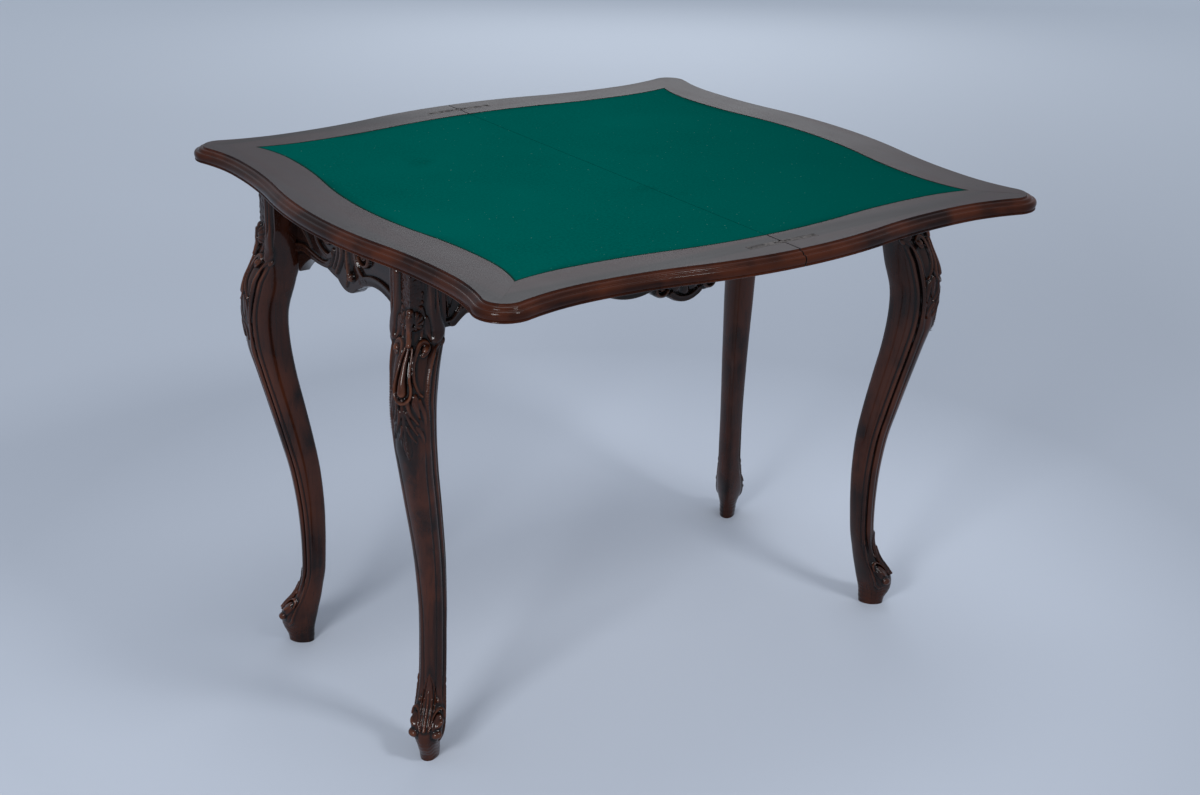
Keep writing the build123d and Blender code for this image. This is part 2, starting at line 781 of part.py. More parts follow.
# The swivel
save(pivot_plate(), "pivot_plate")
save(pivot_pin(), "pivot_pin")
save(pivot_washer(), "pivot_washer")
save(pivot_nut(), "pivot_nut")
save(stop_peg(0), "stop_peg")
plate_screw = plate_screw_shape(screw)
plate_screws = [(Location((x, y, leaf_foot)) * plate_screw).solid() for x, y in plate_screw_places()]
save(Compound(children=plate_screws), "pivot_plate_screws")
save(pivot_rail(), "pivot_rail")
save(pivot_bush(), "pivot_bush")

# The frame
corners = {"front": -1, "back": 1}
hands = {"left": -1, "right": 1}
corner_blocks = []
block_screws = []
for depth_name, side_y in corners.items():
    save(long_apron(side_y), depth_name + "_apron")
    for hand_name, side_x in hands.items():
        save(leg(side_x, side_y), "leg_" + depth_name + "_" + hand_name)
        corner_blocks.append(corner_block(side_x, side_y).solid())
        one_screw = screw(block_screw_radius, block_screw_head, block_screw_length)
        for place in block_screw_places(side_x, side_y).values():
            block_screws.append((place * one_screw).solid())
for hand_name, side_x in hands.items():
    save(short_apron(side_x), hand_name + "_apron")
save(Compound(children=corner_blocks), "corner_blocks")
save(Compound(children=block_screws), "corner_block_screws")
save(glide_strips(), "glide_strips")

# The card well
floor = block(
    -short_inner + joint_gap, short_inner - joint_gap,
    -long_inner + joint_gap, long_inner - joint_gap, floor_foot, well_top,
)
save(floor, "well_floor")
cleat_reach = short_inner - corner_block_leg
cleats = []
for side in (-1, 1):
    y0, y1 = sorted((side * (long_inner - cleat_side), side * long_inner))
    cleats.append(block(-cleat_reach, cleat_reach, y0, y1, floor_foot - cleat_side, floor_foot).solid())
save(Compound(children=cleats), "floor_cleats")
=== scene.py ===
import bpy
import math
import numpy as np
from mathutils import Matrix


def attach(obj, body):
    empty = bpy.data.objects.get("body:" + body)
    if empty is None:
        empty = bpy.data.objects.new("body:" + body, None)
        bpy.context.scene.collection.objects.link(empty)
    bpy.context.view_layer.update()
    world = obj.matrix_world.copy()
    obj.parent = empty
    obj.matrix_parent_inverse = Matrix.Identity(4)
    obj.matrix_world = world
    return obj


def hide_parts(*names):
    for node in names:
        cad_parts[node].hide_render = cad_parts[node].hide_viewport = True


# Card table with a swivelling, folding top, open for play
# Every size below is in millimetres, and only the mesh makers turn it into metres
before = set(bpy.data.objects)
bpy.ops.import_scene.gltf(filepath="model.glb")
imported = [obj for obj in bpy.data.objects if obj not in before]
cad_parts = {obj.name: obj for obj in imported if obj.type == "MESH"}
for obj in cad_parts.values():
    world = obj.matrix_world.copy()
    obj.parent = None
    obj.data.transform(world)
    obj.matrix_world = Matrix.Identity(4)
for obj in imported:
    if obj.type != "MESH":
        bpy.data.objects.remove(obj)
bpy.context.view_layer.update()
mm = 0.001
diagonal = math.sqrt(0.5)
toTheRight = (0.82, -0.57, 0.0)  # the photo's own right, as a direction on the floor
print("frame loaded")


# Small tools for curves and grids

def smoothLine(points, perSpan=16):
    # Cubic through the points: at each point the slope is half the chord of its neighbours
    given = np.asarray(points, float)
    first = 2 * given[0] - given[1]
    last = 2 * given[-1] - given[-2]
    padded = np.vstack([first, given, last])
    share = np.linspace(0, 1, perSpan, endpoint=False)[:, None, None]
    before, start, end, after = padded[:-3], padded[1:-2], padded[2:-1], padded[3:]
    slope = (end - before) * share
    bend = (2 * before - 5 * start + 4 * end - after) * share**2
    twist = (3 * start - before - 3 * end + after) * share**3
    curve = 0.5 * (2 * start + slope + bend + twist)
    curve = curve.transpose(1, 0, 2).reshape(-1, given.shape[1])
    return np.vstack([curve, given[-1]])


def evenly(line, count):
    # The same line with its points at equal steps of length
    steps = np.hypot(*np.diff(line, axis=0).T)
    length = np.concatenate([[0], np.cumsum(steps)])
    wanted = np.linspace(0, length[-1], count)
    return np.stack([np.interp(wanted, length, line[:, axis]) for axis in range(2)], -1)


def arcThrough(start, middle, end, count=24):
    # Circle through three points: its centre is where the chords' perpendiculars meet
    (ax, ay), (bx, by), (cx, cy) = start, middle, end
    twice = 2 * (ax * (by - cy) + bx * (cy - ay) + cx * (ay - by))
    squares = [x * x + y * y for x, y in (start, middle, end)]
    ux = (squares[0] * (by - cy) + squares[1] * (cy - ay) + squares[2] * (ay - by)) / twice
    uy = (squares[0] * (cx - bx) + squares[1] * (ax - cx) + squares[2] * (bx - ax)) / twice
    angles = np.unwrap([math.atan2(y - uy, x - ux) for x, y in (start, middle, end)])
    turn = np.interp(np.linspace(0, 1, count), [0, 0.5, 1], angles)
    radius = math.hypot(ax - ux, ay - uy)
    return np.stack([ux + radius * np.cos(turn), uy + radius * np.sin(turn)], -1)


def easedStep(value, low, high):
    # Zero below low, one above high, and 3t^2 - 2t^3 between them
    share = np.clip((value - low) / (high - low), 0, 1)
    return share * share * (3 - 2 * share)


def boxBlur(field, reach):
    # Mean over a square of 2 * reach + 1 cells, from running sums, with the edge cells repeated
    for axis in (0, 1):
        pads = [(reach + 1, reach) if axis == side else (0, 0) for side in (0, 1)]
        total = np.cumsum(np.pad(field, pads, mode="edge"), axis=axis)
        width = 2 * reach + 1
        ahead = np.take(total, range(width, total.shape[axis]), axis=axis)
        behind = np.take(total, range(0, total.shape[axis] - width), axis=axis)
        field = (ahead - behind) / width
    return field


# Carved work: a height over two directions of a surface, raised by one motif after another

class Relief:
    # Two grids say where each place of the surface lies, and a third how high it stands
    def __init__(self, across, along):
        self.across = across
        self.along = along
        self.height = np.zeros_like(across)

    def near(self, points, reach):
        # The places round a smooth line, their distance to it and the share of its length there
        line = smoothLine(points)
        low = line.min(0) - reach
        high = line.max(0) + reach
        inside = (self.across > low[0]) & (self.across < high[0])
        inside &= (self.along > low[1]) & (self.along < high[1])
        places = np.stack([self.across[inside], self.along[inside]], -1)
        squared = ((places[:, None, :] - line[None]) ** 2).sum(-1)
        return inside, np.sqrt(squared.min(1)), squared.argmin(1) / (len(line) - 1)

    def put(self, inside, height, seen=True):
        # A motif lies over what is lower than it
        old = self.height[inside]
        self.height[inside] = np.where(seen, np.maximum(old, height), old)

    def cord(self, points, wide, high, tip=1.0, tail=1.0, hollow=0.0):
        # Half-round ridge: high * sqrt(1 - q^2), q the distance over half the width
        inside, gap, share = self.near(points, wide * max(tip, tail, 1))
        half = wide * (tip + (tail - tip) * share)
        q = np.clip(gap / np.maximum(half, 0.1), 0, 1)
        dip = hollow * (1 - (q / 0.75) ** 2).clip(0)
        thin = 0.4 + 0.6 * np.minimum(half / wide, 1)
        self.put(inside, high * thin * np.sqrt(1 - q * q) * (1 - dip), q < 1)

    def leaf(self, points, wide, high):
        # Ridge that swells to its full width a quarter of the way and ends in a point
        inside, gap, share = self.near(points, wide)
        half = wide * np.sin(math.pi * (0.12 + 0.88 * share) ** 0.65) + 0.3
        q = np.clip(gap / half, 0, 1)
        self.put(inside, high * (1 - q**1.6) * (0.55 + 0.45 * q**0.5), q < 1)

    def petal(self, points, wide, high, tip, tail):
        # Nearly flat lobe with rounded edges: high * (1 - q^4)
        inside, gap, share = self.near(points, wide * max(tip, tail))
        q = np.clip(gap / (wide * (tip + (tail - tip) * share)), 0, 1)
        self.put(inside, high * (1 - q**4), q < 1)

    def boss(self, centre, radii, high, turn=0.0):
        # Half an ellipsoid, turned by some degrees
        angle = math.radians(turn)
        x = self.across - centre[0]
        y = self.along - centre[1]
        u = (x * math.cos(angle) + y * math.sin(angle)) / radii[0]
        v = (y * math.cos(angle) - x * math.sin(angle)) / radii[1]
        square = u * u + v * v
        inside = square < 1
        self.put(inside, high * np.sqrt(1 - square[inside]))

    def scroll(self, centre, radius, turns, wide, high, start, hand):
        # Spiral cord that winds in from the radius to the boss at its eye
        share = np.linspace(0, 1, int(14 * turns) + 2)
        angle = math.radians(start) + hand * share * turns * 2 * math.pi
        distance = radius * (1 - 0.86 * share**0.8)
        points = np.stack([centre[0] + distance * np.cos(angle), centre[1] + distance * np.sin(angle)], -1)
        self.cord(points, wide, high, 1.0, 0.55)
        self.boss(centre, (wide * 0.9, wide * 0.9), high * 1.05)

    def groove(self, points, wide, deep):
        # Round-bottomed cut: deep * (1 - q^2)
        inside, gap, _ = self.near(points, wide)
        q = np.clip(gap / wide, 0, 1)
        self.height[inside] -= deep * (1 - q * q)

    def cavity(self, reach, scale):
        # How far a place stands above the mean around it, as 0.5 plus a share of scale
        return np.clip(0.5 + (self.height - boxBlur(self.height, reach)) / scale, 0, 1)


# Mesh makers

def makeMesh(name, points, groups, sharpAngle=30, carved=None):
    # Faces come as groups of index arrays, quads first, whose signed volume says which way they point
    a, b, c, d = [points[groups[0][:, corner]] for corner in range(4)]
    if (a * np.cross(b, c)).sum() + (a * np.cross(c, d)).sum() < 0:
        groups = [group[:, ::-1] for group in groups]
    corners = np.concatenate([group.ravel() for group in groups]).astype(np.int32)
    sides = np.concatenate([np.full(len(group), group.shape[1]) for group in groups])
    starts = np.concatenate([[0], np.cumsum(sides)[:-1]]).astype(np.int32)
    mesh = bpy.data.meshes.new(name)
    mesh.vertices.add(len(points))
    mesh.vertices.foreach_set("co", (points * mm).astype(np.float32).ravel())
    mesh.loops.add(len(corners))
    mesh.loops.foreach_set("vertex_index", corners)
    mesh.polygons.add(len(starts))
    mesh.polygons.foreach_set("loop_start", starts)
    mesh.update(calc_edges=True)
    mesh.validate()
    mesh.shade_smooth()
    mesh.set_sharp_from_angle(angle=math.radians(sharpAngle))
    if carved is not None:
        layer = mesh.attributes.new("carved", "FLOAT", "POINT")
        layer.data.foreach_set("value", carved.astype(np.float32))
    piece = bpy.data.objects.new(name, mesh)
    bpy.context.scene.collection.objects.link(piece)
    return piece


def cappedLoops(points, carved=None):
    # Rings of points, each closed on itself, joined ring to ring and fanned shut at both ends
    rings, around = points.shape[:2]
    index = np.arange(rings * around).reshape(rings, around)
    beside = np.roll(index, -1, axis=1)
    quads = np.stack([index[:-1], beside[:-1], beside[1:], index[1:]], -1).reshape(-1, 4)
    ends = np.stack([points[0].mean(0), points[-1].mean(0)])
    count = rings * around
    low = np.stack([np.full(around, count), beside[0], index[0]], -1)
    high = np.stack([np.full(around, count + 1), index[-1], beside[-1]], -1)
    vertices = np.vstack([points.reshape(-1, 3), ends])
    if carved is not None:
        carved = np.concatenate([carved.ravel(), [0.5, 0.5]])
    return vertices, [quads, low, high], carved


def joinedLoops(name, loops, sharpAngle):
    # Several capped loops as one mesh: each one's indices count on from the vertices before it
    starts = np.cumsum([0] + [len(vertices) for vertices, _ in loops])
    quads = np.vstack([groups[0] + start for (_, groups), start in zip(loops, starts)])
    caps = np.vstack([cap + start for (_, groups), start in zip(loops, starts) for cap in groups[1:]])
    return makeMesh(name, np.vstack([vertices for vertices, _ in loops]), [quads, caps], sharpAngle)


def ridesOn(piece, body, slot, *nodes):
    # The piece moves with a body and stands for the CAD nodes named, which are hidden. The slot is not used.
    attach(piece, body)
    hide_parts(*nodes)


# Shader maths: one wrapped socket, whose operators add Math nodes

class Wire:
    def __init__(self, paint, socket):
        self.paint = paint
        self.socket = socket

    def maths(self, operation, first, second):
        # One Math node on two values, each a wire or a number
        return self.paint.node("ShaderNodeMath", {"operation": operation}, {0: first, 1: second})

    def __add__(self, other):
        return self.maths("ADD", self, other)

    def __radd__(self, other):
        return self.maths("ADD", other, self)

    def __sub__(self, other):
        return self.maths("SUBTRACT", self, other)

    def __rsub__(self, other):
        return self.maths("SUBTRACT", other, self)

    def __mul__(self, other):
        return self.maths("MULTIPLY", self, other)

    def __rmul__(self, other):
        return self.maths("MULTIPLY", other, self)


class Paint:
    # One material: nodes are added by type, settings and the values or links of their sockets
    def __init__(self, name):
        self.material = bpy.data.materials.new(name)
        self.material.use_nodes = True
        self.tree = self.material.node_tree
        self.shader = self.tree.nodes["Principled BSDF"]

    def feed(self, socket, value):
        # A wire is linked to the socket, and anything else becomes its own value
        if isinstance(value, Wire):
            self.tree.links.new(value.socket, socket)
        else:
            socket.default_value = value

    def node(self, kind, settings=None, sockets=None, output=0):
        # Settings first, then the sockets by number or name; the wire comes from one output
        made = self.tree.nodes.new(kind)
        for key, value in (settings or {}).items():
            setattr(made, key, value)
        for key, value in (sockets or {}).items():
            self.feed(made.inputs[key], value)
        return Wire(self, made.outputs[output])

    def spot(self):
        # Object coordinates, in metres
        return self.node("ShaderNodeTexCoord", output=3)

    def towards(self, direction):
        # How far a place lies in a direction: the dot product of the two
        wanted = {"operation": "DOT_PRODUCT"}
        return self.node("ShaderNodeVectorMath", wanted, {0: self.spot(), 1: direction}, 1)

    def awayFrom(self, centre):
        # Distance of a place from a centre
        wanted = {"operation": "DISTANCE"}
        return self.node("ShaderNodeVectorMath", wanted, {0: self.spot(), 1: centre}, 1)

    def noise(self, scale, detail, rough, warp=0.0, turn=0.0):
        # Noise on turned Object coordinates, with one scale for all axes or one for each
        scales = scale if isinstance(scale, tuple) else (scale, scale, scale)
        where = self.node("ShaderNodeMapping", None, {0: self.spot(), 2: (0, 0, turn), 3: scales})
        sockets = {"Vector": where, "Scale": 1.0, "Detail": detail, "Roughness": rough, "Distortion": warp}
        return self.node("ShaderNodeTexNoise", None, sockets)

    def between(self, value, low, high):
        # Zero at low, one at high, and a straight line from one to the other
        return self.node("ShaderNodeMapRange", {"clamp": True}, {0: value, 1: low, 2: high})

    def mix(self, factor, first, second):
        # The first tone where the factor is 0 and the second where it is 1
        ends = [(*tone, 1) if isinstance(tone, tuple) else tone for tone in (first, second)]
        return self.node("ShaderNodeMix", {"data_type": "RGBA"}, {0: factor, 6: ends[0], 7: ends[1]}, 2)

    def bump(self, height, distance, strength):
        # Normal of a surface that the height lifts by up to the distance, in millimetres
        sockets = {"Height": height, "Distance": distance * mm, "Strength": strength}
        return self.node("ShaderNodeBump", None, sockets)

    def carved(self):
        # The mesh's own value: over 0.5 on wood that stands up, and on cloth 0 at the edge
        return self.node("ShaderNodeAttribute", {"attribute_name": "carved"}, output=2)

    def set(self, **sockets):
        # Feeds the shader's sockets, named with underscores for spaces
        for name, value in sockets.items():
            whole = (*value, 1) if isinstance(value, tuple) else value
            self.feed(self.shader.inputs[name.replace("_", " ")], whole)
        return self.material


# Finishes

def stretched(axis, scales):
    # Noise scales for each axis, from the one across the grain and the one along it
    across, along = scales
    return tuple(along if letter == axis else across for letter in "xyz")


def times(values, factor):
    # Each value times the factor
    return tuple(value * factor for value in values)


polish = {  # french-polished dark mahogany: the stain, its worn tone, and the grime and painted shade in the hollows
    "stain": (0.0070, 0.0021, 0.0014),
    "streak": (0.064, 0.0155, 0.0058),
    "worn": (0.118, 0.036, 0.0150),
    "grimeAndShade": (0.0015, 0.0009, 0.0009),
    "grain": (46.0, 2.6),  # across and along
    "poresFiner": 7,
    "clouds": 9,
    "darkerHigher": 0.62,
    "blackFrom": (0.50, 0.64),  # height in metres
    "roughness": 0.15,
    "coat": 0.48,
    "coatRoughness": 0.10,
    "specular": 0.05,
}


def polishedWood(name, along, tones=polish, contrast=1.0):
    # Long noise along one axis for the grain, a finer one for pores, and the carved value for dirt with
    # painted shade in the hollows, and for wear
    paint = Paint(name)
    scales = stretched(along, tones["grain"])
    fibres = paint.noise(scales, 5.0, 0.62, 0.6)
    pores = paint.noise(times(scales, tones["poresFiner"]), 2.0, 0.5)
    clouds = paint.noise(tones["clouds"], 3.0, 0.55)
    carved = paint.carved()
    tone = paint.mix(paint.between(fibres, 0.38, 0.68) * contrast * 0.7, tones["stain"], tones["streak"])
    tone = paint.mix(paint.between(clouds, 0.46, 0.62) * 0.7, tone, tones["streak"])
    # The wood is darker higher up: most on the knees and posts, less down the legs
    darkerHigher = paint.between(paint.towards((0.0, 0.0, 1.0)), *tones["blackFrom"])
    tone = paint.mix(darkerHigher * tones["darkerHigher"], tone, tones["stain"])
    worn = paint.between(carved, 0.60, 0.95) * paint.between(clouds, 0.34, 0.62)
    tone = paint.mix(worn * 0.75, tone, tones["worn"])
    # Grime and painted shade: the hollows of the carving are darkened nearly to black
    hollowGrimeAndShade = paint.between(carved, 0.495, 0.34)
    tone = paint.mix(hollowGrimeAndShade * 0.9, tone, tones["grimeAndShade"])
    tone = paint.mix(paint.between(pores, 0.60, 0.72) * 0.35, tone, tones["grimeAndShade"])
    return paint.set(
        Base_Color=tone,
        Roughness=tones["roughness"] + clouds * 0.13 + hollowGrimeAndShade * 0.18 - worn * 0.05,
        Normal=paint.bump(fibres * 0.5 + pores * 0.5, 0.05, 0.45),
        Coat_Weight=tones["coat"],
        Coat_Roughness=tones["coatRoughness"],
        Specular_IOR_Level=tones["specular"],
    )


rosewood = {  # waxed border: two browns, the dark figure and small dents
    "stain": (0.0150, 0.0082, 0.0084),
    "streak": (0.030, 0.0155, 0.0150),
    "figure": (0.006, 0.003, 0.003),
    "dent": (0.004, 0.002, 0.002),
    "grain": (30.0, 1.7),  # across and along
    "figureCoarser": 0.42,
    "wear": 5.5,
    "flecks": 210,
    "patches": 16,
    "roughness": 0.42,
    "coat": 0.07,
    "coatRoughness": 0.34,
    "specular": 0.33,
}


def borderWood(name, along):
    # Grain along the rail from stretched noise, dark figure from a warped one, small dark dents in patches
    paint = Paint(name)
    scales = stretched(along, rosewood["grain"])
    fibres = paint.noise(scales, 6.0, 0.6, 0.8)
    figure = paint.noise(times(scales, rosewood["figureCoarser"]), 3.0, 0.5, 1.4)
    wear = paint.noise(rosewood["wear"], 4.0, 0.6)
    fleck = paint.noise(rosewood["flecks"], 0.0, 0.5)
    patch = paint.noise(rosewood["patches"], 2.0, 0.5)
    tone = paint.mix(paint.between(fibres, 0.34, 0.70), rosewood["stain"], rosewood["streak"])
    tone = paint.mix(paint.between(figure, 0.54, 0.66) * 0.85, tone, rosewood["figure"])
    dents = paint.between(fleck, 0.80, 0.83) * paint.between(patch, 0.36, 0.50)
    tone = paint.mix(dents, tone, rosewood["dent"])
    return paint.set(
        Base_Color=tone,
        Roughness=rosewood["roughness"] + wear * 0.16 + paint.between(fibres, 0.4, 0.7) * 0.05,
        Normal=paint.bump(fibres * 0.4 + wear * 0.6, 0.02, 0.3),
        Coat_Weight=rosewood["coat"],
        Coat_Roughness=rosewood["coatRoughness"],
        Specular_IOR_Level=rosewood["specular"],
    )


sawn = {  # unpolished timber
    "grain": (24.0, 1.5),  # across and along
    "dust": 40,
    "dustTone": 0.45,  # against the darker brown
    "roughness": 0.7,
}


def plainWood(name, along, light, dark):
    # Soft rings from stretched noise under a little dust in the pores
    paint = Paint(name)
    rings = paint.noise(stretched(along, sawn["grain"]), 4.0, 0.55, 0.9)
    dust = paint.noise(sawn["dust"], 3.0, 0.6)
    tone = paint.mix(paint.between(rings, 0.35, 0.68), light, dark)
    tone = paint.mix(paint.between(dust, 0.52, 0.75) * 0.4, tone, times(dark, sawn["dustTone"]))
    return paint.set(
        Base_Color=tone,
        Roughness=sawn["roughness"] + dust * 0.15,
        Normal=paint.bump(rings * 0.6 + dust * 0.4, 0.25, 0.6),
    )


felt = {  # green baize: its tones, and the noise scales of nap, pile, wear, lint and stains
    "green": (0.0, 0.055, 0.045),
    # deep also serves as the painted shade towards the right
    "deep": (0.0, 0.038, 0.031),
    "worn": (0.0, 0.070, 0.057),
    "lint": (0.10, 0.24, 0.19),
    "stain": (0.0, 0.026, 0.020),
    # rim is the painted shade along the cloth's edge
    "rim": (0.006, 0.008, 0.005),
    "napScale": 900,
    "pileScale": 260,
    "wearScale": 4.2,
    "lintScale": 330,
    "lintPatches": 11,
    "stainScale": 7.5,
    "roughness": 0.92,
    "sheen": 0.04,
    "sheenTint": (0.0, 0.7, 0.5),
}


def feltCloth(name):
    # Nap from two fine noises, soft wear clouds, pale lint specks, a few darker stains, a soiled edge with a
    # painted shade line along it, and painted shade towards the right
    paint = Paint(name)
    nap = paint.noise(felt["napScale"], 2.0, 0.6)
    pile = paint.noise(felt["pileScale"], 3.0, 0.6)
    clouds = paint.noise(felt["wearScale"], 4.0, 0.6)
    lint = paint.noise(felt["lintScale"], 0.0, 0.5, turn=0.6)
    gather = paint.noise(felt["lintPatches"], 2.0, 0.5)
    stain = paint.noise(felt["stainScale"], 2.0, 0.5, turn=1.1)
    tone = paint.mix(paint.between(clouds, 0.35, 0.68), felt["green"], felt["worn"])
    tone = paint.mix(paint.between(nap, 0.45, 0.75) * 0.6, tone, felt["deep"])
    tone = paint.mix(paint.between(stain, 0.70, 0.80) * 0.5, tone, felt["stain"])
    tone = paint.mix(paint.between(pile, 0.40, 0.62) * 0.9, tone, felt["worn"])
    # Painted shade: the cloth darkens towards the right
    tone = paint.mix(paint.between(paint.towards(toTheRight), 0.0, 0.48) * 0.75, tone, felt["deep"])
    fromEdge = paint.carved()
    soiled = paint.between(fromEdge, 0.7, 0.1) * paint.between(stain, 0.36, 0.60)
    tone = paint.mix(soiled * 0.6, tone, felt["stain"])
    # Painted shade: a nearly black line along the cloth's edge
    tone = paint.mix(paint.between(fromEdge, 0.16, 0.04) * 0.9, tone, felt["rim"])
    specks = paint.between(lint, 0.865, 0.885) * paint.between(gather, 0.34, 0.52)
    tone = paint.mix(specks * 0.5, tone, felt["lint"])
    return paint.set(
        Base_Color=tone,
        Roughness=felt["roughness"],
        Normal=paint.bump(nap * 0.6 + pile * 0.4, 0.35, 0.5),
        Sheen_Weight=felt["sheen"],
        Sheen_Roughness=0.5,
        Sheen_Tint=felt["sheenTint"],
        Specular_IOR_Level=0.0,
    )


tarnished = {"blotches": 90, "rubs": (60, 700, 700)}  # noise scales


def oldMetal(name, bright, tarnish, roughness, metallic=1.0):
    # Bright metal under blotches of tarnish, with fine rubbing marks
    paint = Paint(name)
    blotch = paint.noise(tarnished["blotches"], 4.0, 0.6, 0.4)
    rubs = paint.noise(tarnished["rubs"], 2.0, 0.5)
    covered = paint.between(blotch, 0.38, 0.60)
    return paint.set(
        Base_Color=paint.mix(covered, bright, tarnish),
        Metallic=metallic - covered * 0.35,
        Roughness=roughness + covered * 0.25 + rubs * 0.08,
        Normal=paint.bump(rubs * 0.4 + blotch * 0.6, 0.08, 0.6),
    )


# The aprons are darker than the legs: partly a darker finish, partly painted shade under the top
apronDarkerFinishAndShade = dict(
    polish,
    stain=(0.0075, 0.0028, 0.0020),
    streak=(0.036, 0.0115, 0.006),
    worn=(0.085, 0.030, 0.015),
)
beadTones = dict(
    polish,
    stain=(0.010, 0.0028, 0.0016),
    streak=(0.066, 0.0150, 0.0050),
    roughness=0.17,
    coat=0.18,
    darkerHigher=0.0,
)
legWood = polishedWood("polishedMahoganyUpright", "z")
longApronWood = polishedWood("polishedMahoganyLong", "x", apronDarkerFinishAndShade)
shortApronWood = polishedWood("polishedMahoganyShort", "y", apronDarkerFinishAndShade)
beadAcross = polishedWood("polishedBeadAlongY", "y", beadTones, 0.8)
beadAlong = polishedWood("polishedBeadAlongX", "x", beadTones, 0.8)
borderAcross = borderWood("rosewoodBorderAlongY", "y")
borderAlong = borderWood("rosewoodBorderAlongX", "x")
outerVeneer = borderWood("rosewoodOutside", "y")
baizeCloth = feltCloth("greenBaize")
coreTimber = plainWood("stainedCoreTimber", "y", (0.075, 0.036, 0.020), (0.042, 0.019, 0.011))
wellTimber = plainWood("softwood", "x", (0.36, 0.23, 0.13), (0.24, 0.14, 0.075))
upperWellTimber = plainWood("softwoodUpright", "z", (0.33, 0.21, 0.12), (0.22, 0.13, 0.07))
# Painted shade: the rails' end faces in the fold are nearly black, standing for the shade in the gap
foldEndShade = plainWood("foldEndPaintedShade", "x", (0.006, 0.003, 0.002), (0.003, 0.0015, 0.001))
agedBrass = oldMetal("agedBrass", (0.070, 0.056, 0.050), (0.024, 0.018, 0.016), 0.50, 0.5)
darkIron = oldMetal("rubbedIron", (0.16, 0.15, 0.14), (0.035, 0.03, 0.028), 0.45)
screwSteel = oldMetal("agedSteel", (0.045, 0.039, 0.034), (0.008, 0.006, 0.005), 0.45)
print("finishes made")


# The CAD nodes that stay in view

nodeFinish = {
    "corner_blocks": upperWellTimber,
    "corner_block_screws": screwSteel,
    "pivot_rail": plainWood("railTimber", "y", (0.30, 0.19, 0.11), (0.20, 0.12, 0.065)),
    "pivot_bush": agedBrass,
    "well_floor": wellTimber,
    "floor_cleats": wellTimber,
    "lower_leaf_core": coreTimber,
    "upper_leaf_core": outerVeneer,
    "lower_hinge_plates": agedBrass,
    "upper_hinge_plates": agedBrass,
    "hinge_links": agedBrass,
    "lower_hinge_pins": screwSteel,
    "upper_hinge_pins": screwSteel,
    "pivot_plate": darkIron,
    "pivot_plate_screws": screwSteel,
    "pivot_pin": darkIron,
    "pivot_washer": darkIron,
    "pivot_nut": darkIron,
    "stop_peg": upperWellTimber,
}
for nodeName, finish in nodeFinish.items():
    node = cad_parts[nodeName]
    if not node.material_slots:
        node.data.materials.append(finish)
    for materialSlot in node.material_slots:
        materialSlot.material = finish


# The top: six moulded rails, drawn as the same tangent arcs as the real edge

top = {
    "level": 750.0,
    "thickness": 21.0,
    "halfGap": 1.0,
    "foldGap": 0.55,  # nothing of a rail comes nearer to the fold
    "endReach": 462.0,
    "endWaist": 30.0,
    "endWaistToEar": 95.0,
    "sideReach": 448.0,
    "sideWaist": 32.0,
    "sideWaistToEar": 109.0,
    "earSetback": 16.0,
    "earRadius": 27.0,
    "borderWidth": 67.0,
    "baizeEndWaist": 28.0,
    "baizeSideWaist": 24.0,
    "baizeCornerSetback": 14.0,
    "baizeWaistToCorner": 82.0,
    "stations": 300,
    "arcPoints": 40,
    "flatWave": 0.06,
    "flatTo": 0.9,  # drop at which the moulding's own finish starts
    "underFrom": 20.5,
    "foldWithin": 1.5,
}
earX = top["endReach"] - top["earSetback"] - top["earRadius"]
earY = top["sideReach"] - top["earSetback"] - top["earRadius"]
baizeEnd = top["endReach"] - top["borderWidth"]
baizeSide = top["sideReach"] - top["borderWidth"]
baizeCorner = (baizeEnd - top["baizeCornerSetback"], baizeSide - top["baizeCornerSetback"])

# Moulding from the border outwards and down: reach beyond the border, drop below the top
moulding = {
    "quirk": [(0.0, 0.0), (0.25, -0.3), (0.5, -2.2), (1.1, -2.5)],
    "beadReach": 14.5,
    "beadTop": -2.3,
    "beadCrown": 9.6,
    "beadFoot": -18.4,
    "fillet": [(12.4, -18.6), (12.5, -19.0), (13.5, -19.2), (13.7, -19.6), (13.5, -20.4), (12.8, -20.95)],
    "beadTuck": 2.1,
    "beadSteps": 30,
    "flatSteps": 22,
    "fallSteps": 9,
    "sharpAngle": 32,
    "hollowAt": 0.72,
    "hollowWide": 0.22,
    "hollowDeep": 2.2,
}


def serpentine(middle, depth, station, count=60):
    # Two tangent arcs of one radius (s^2 + d^2) / 4d: a swell, then a hollow turned about its end
    radius = (station**2 + depth**2) / (4 * depth)
    swell = np.linspace(0, station / 2, count)
    sag = radius - np.sqrt(radius**2 - swell**2)
    first = np.stack([middle - sag, swell], -1)
    second = np.stack([middle - depth + sag[::-1], station - swell[::-1]], -1)
    return np.vstack([first, second[1:]])


def borderLine(middle, depth, waistToEar, ear):
    # Serpentine to the waist, a hollow that touches the ear's circle, and the ear to its diagonal
    earOut, earAlong = ear
    radius = top["earRadius"]
    waist = (middle - depth, earAlong - waistToEar)
    beyond = waist[0] - earOut
    hollow = (waistToEar**2 + beyond**2 - radius**2) / (2 * (radius - beyond))
    share = radius / (radius + hollow)
    touch = waistToEar * share
    along = np.linspace(0, waistToEar - touch, top["arcPoints"])[1:]
    bend = waist[0] + hollow - np.sqrt(hollow**2 - along**2)
    start = math.atan2(-touch, (beyond + hollow) * share)
    turn = np.linspace(start, math.pi / 4, top["arcPoints"])[1:]
    earRound = np.stack([earOut + radius * np.cos(turn), earAlong + radius * np.sin(turn)], -1)
    hollowLine = np.stack([bend, waist[1] + along], -1)
    return np.vstack([serpentine(middle, depth, waist[1]), hollowLine, earRound])


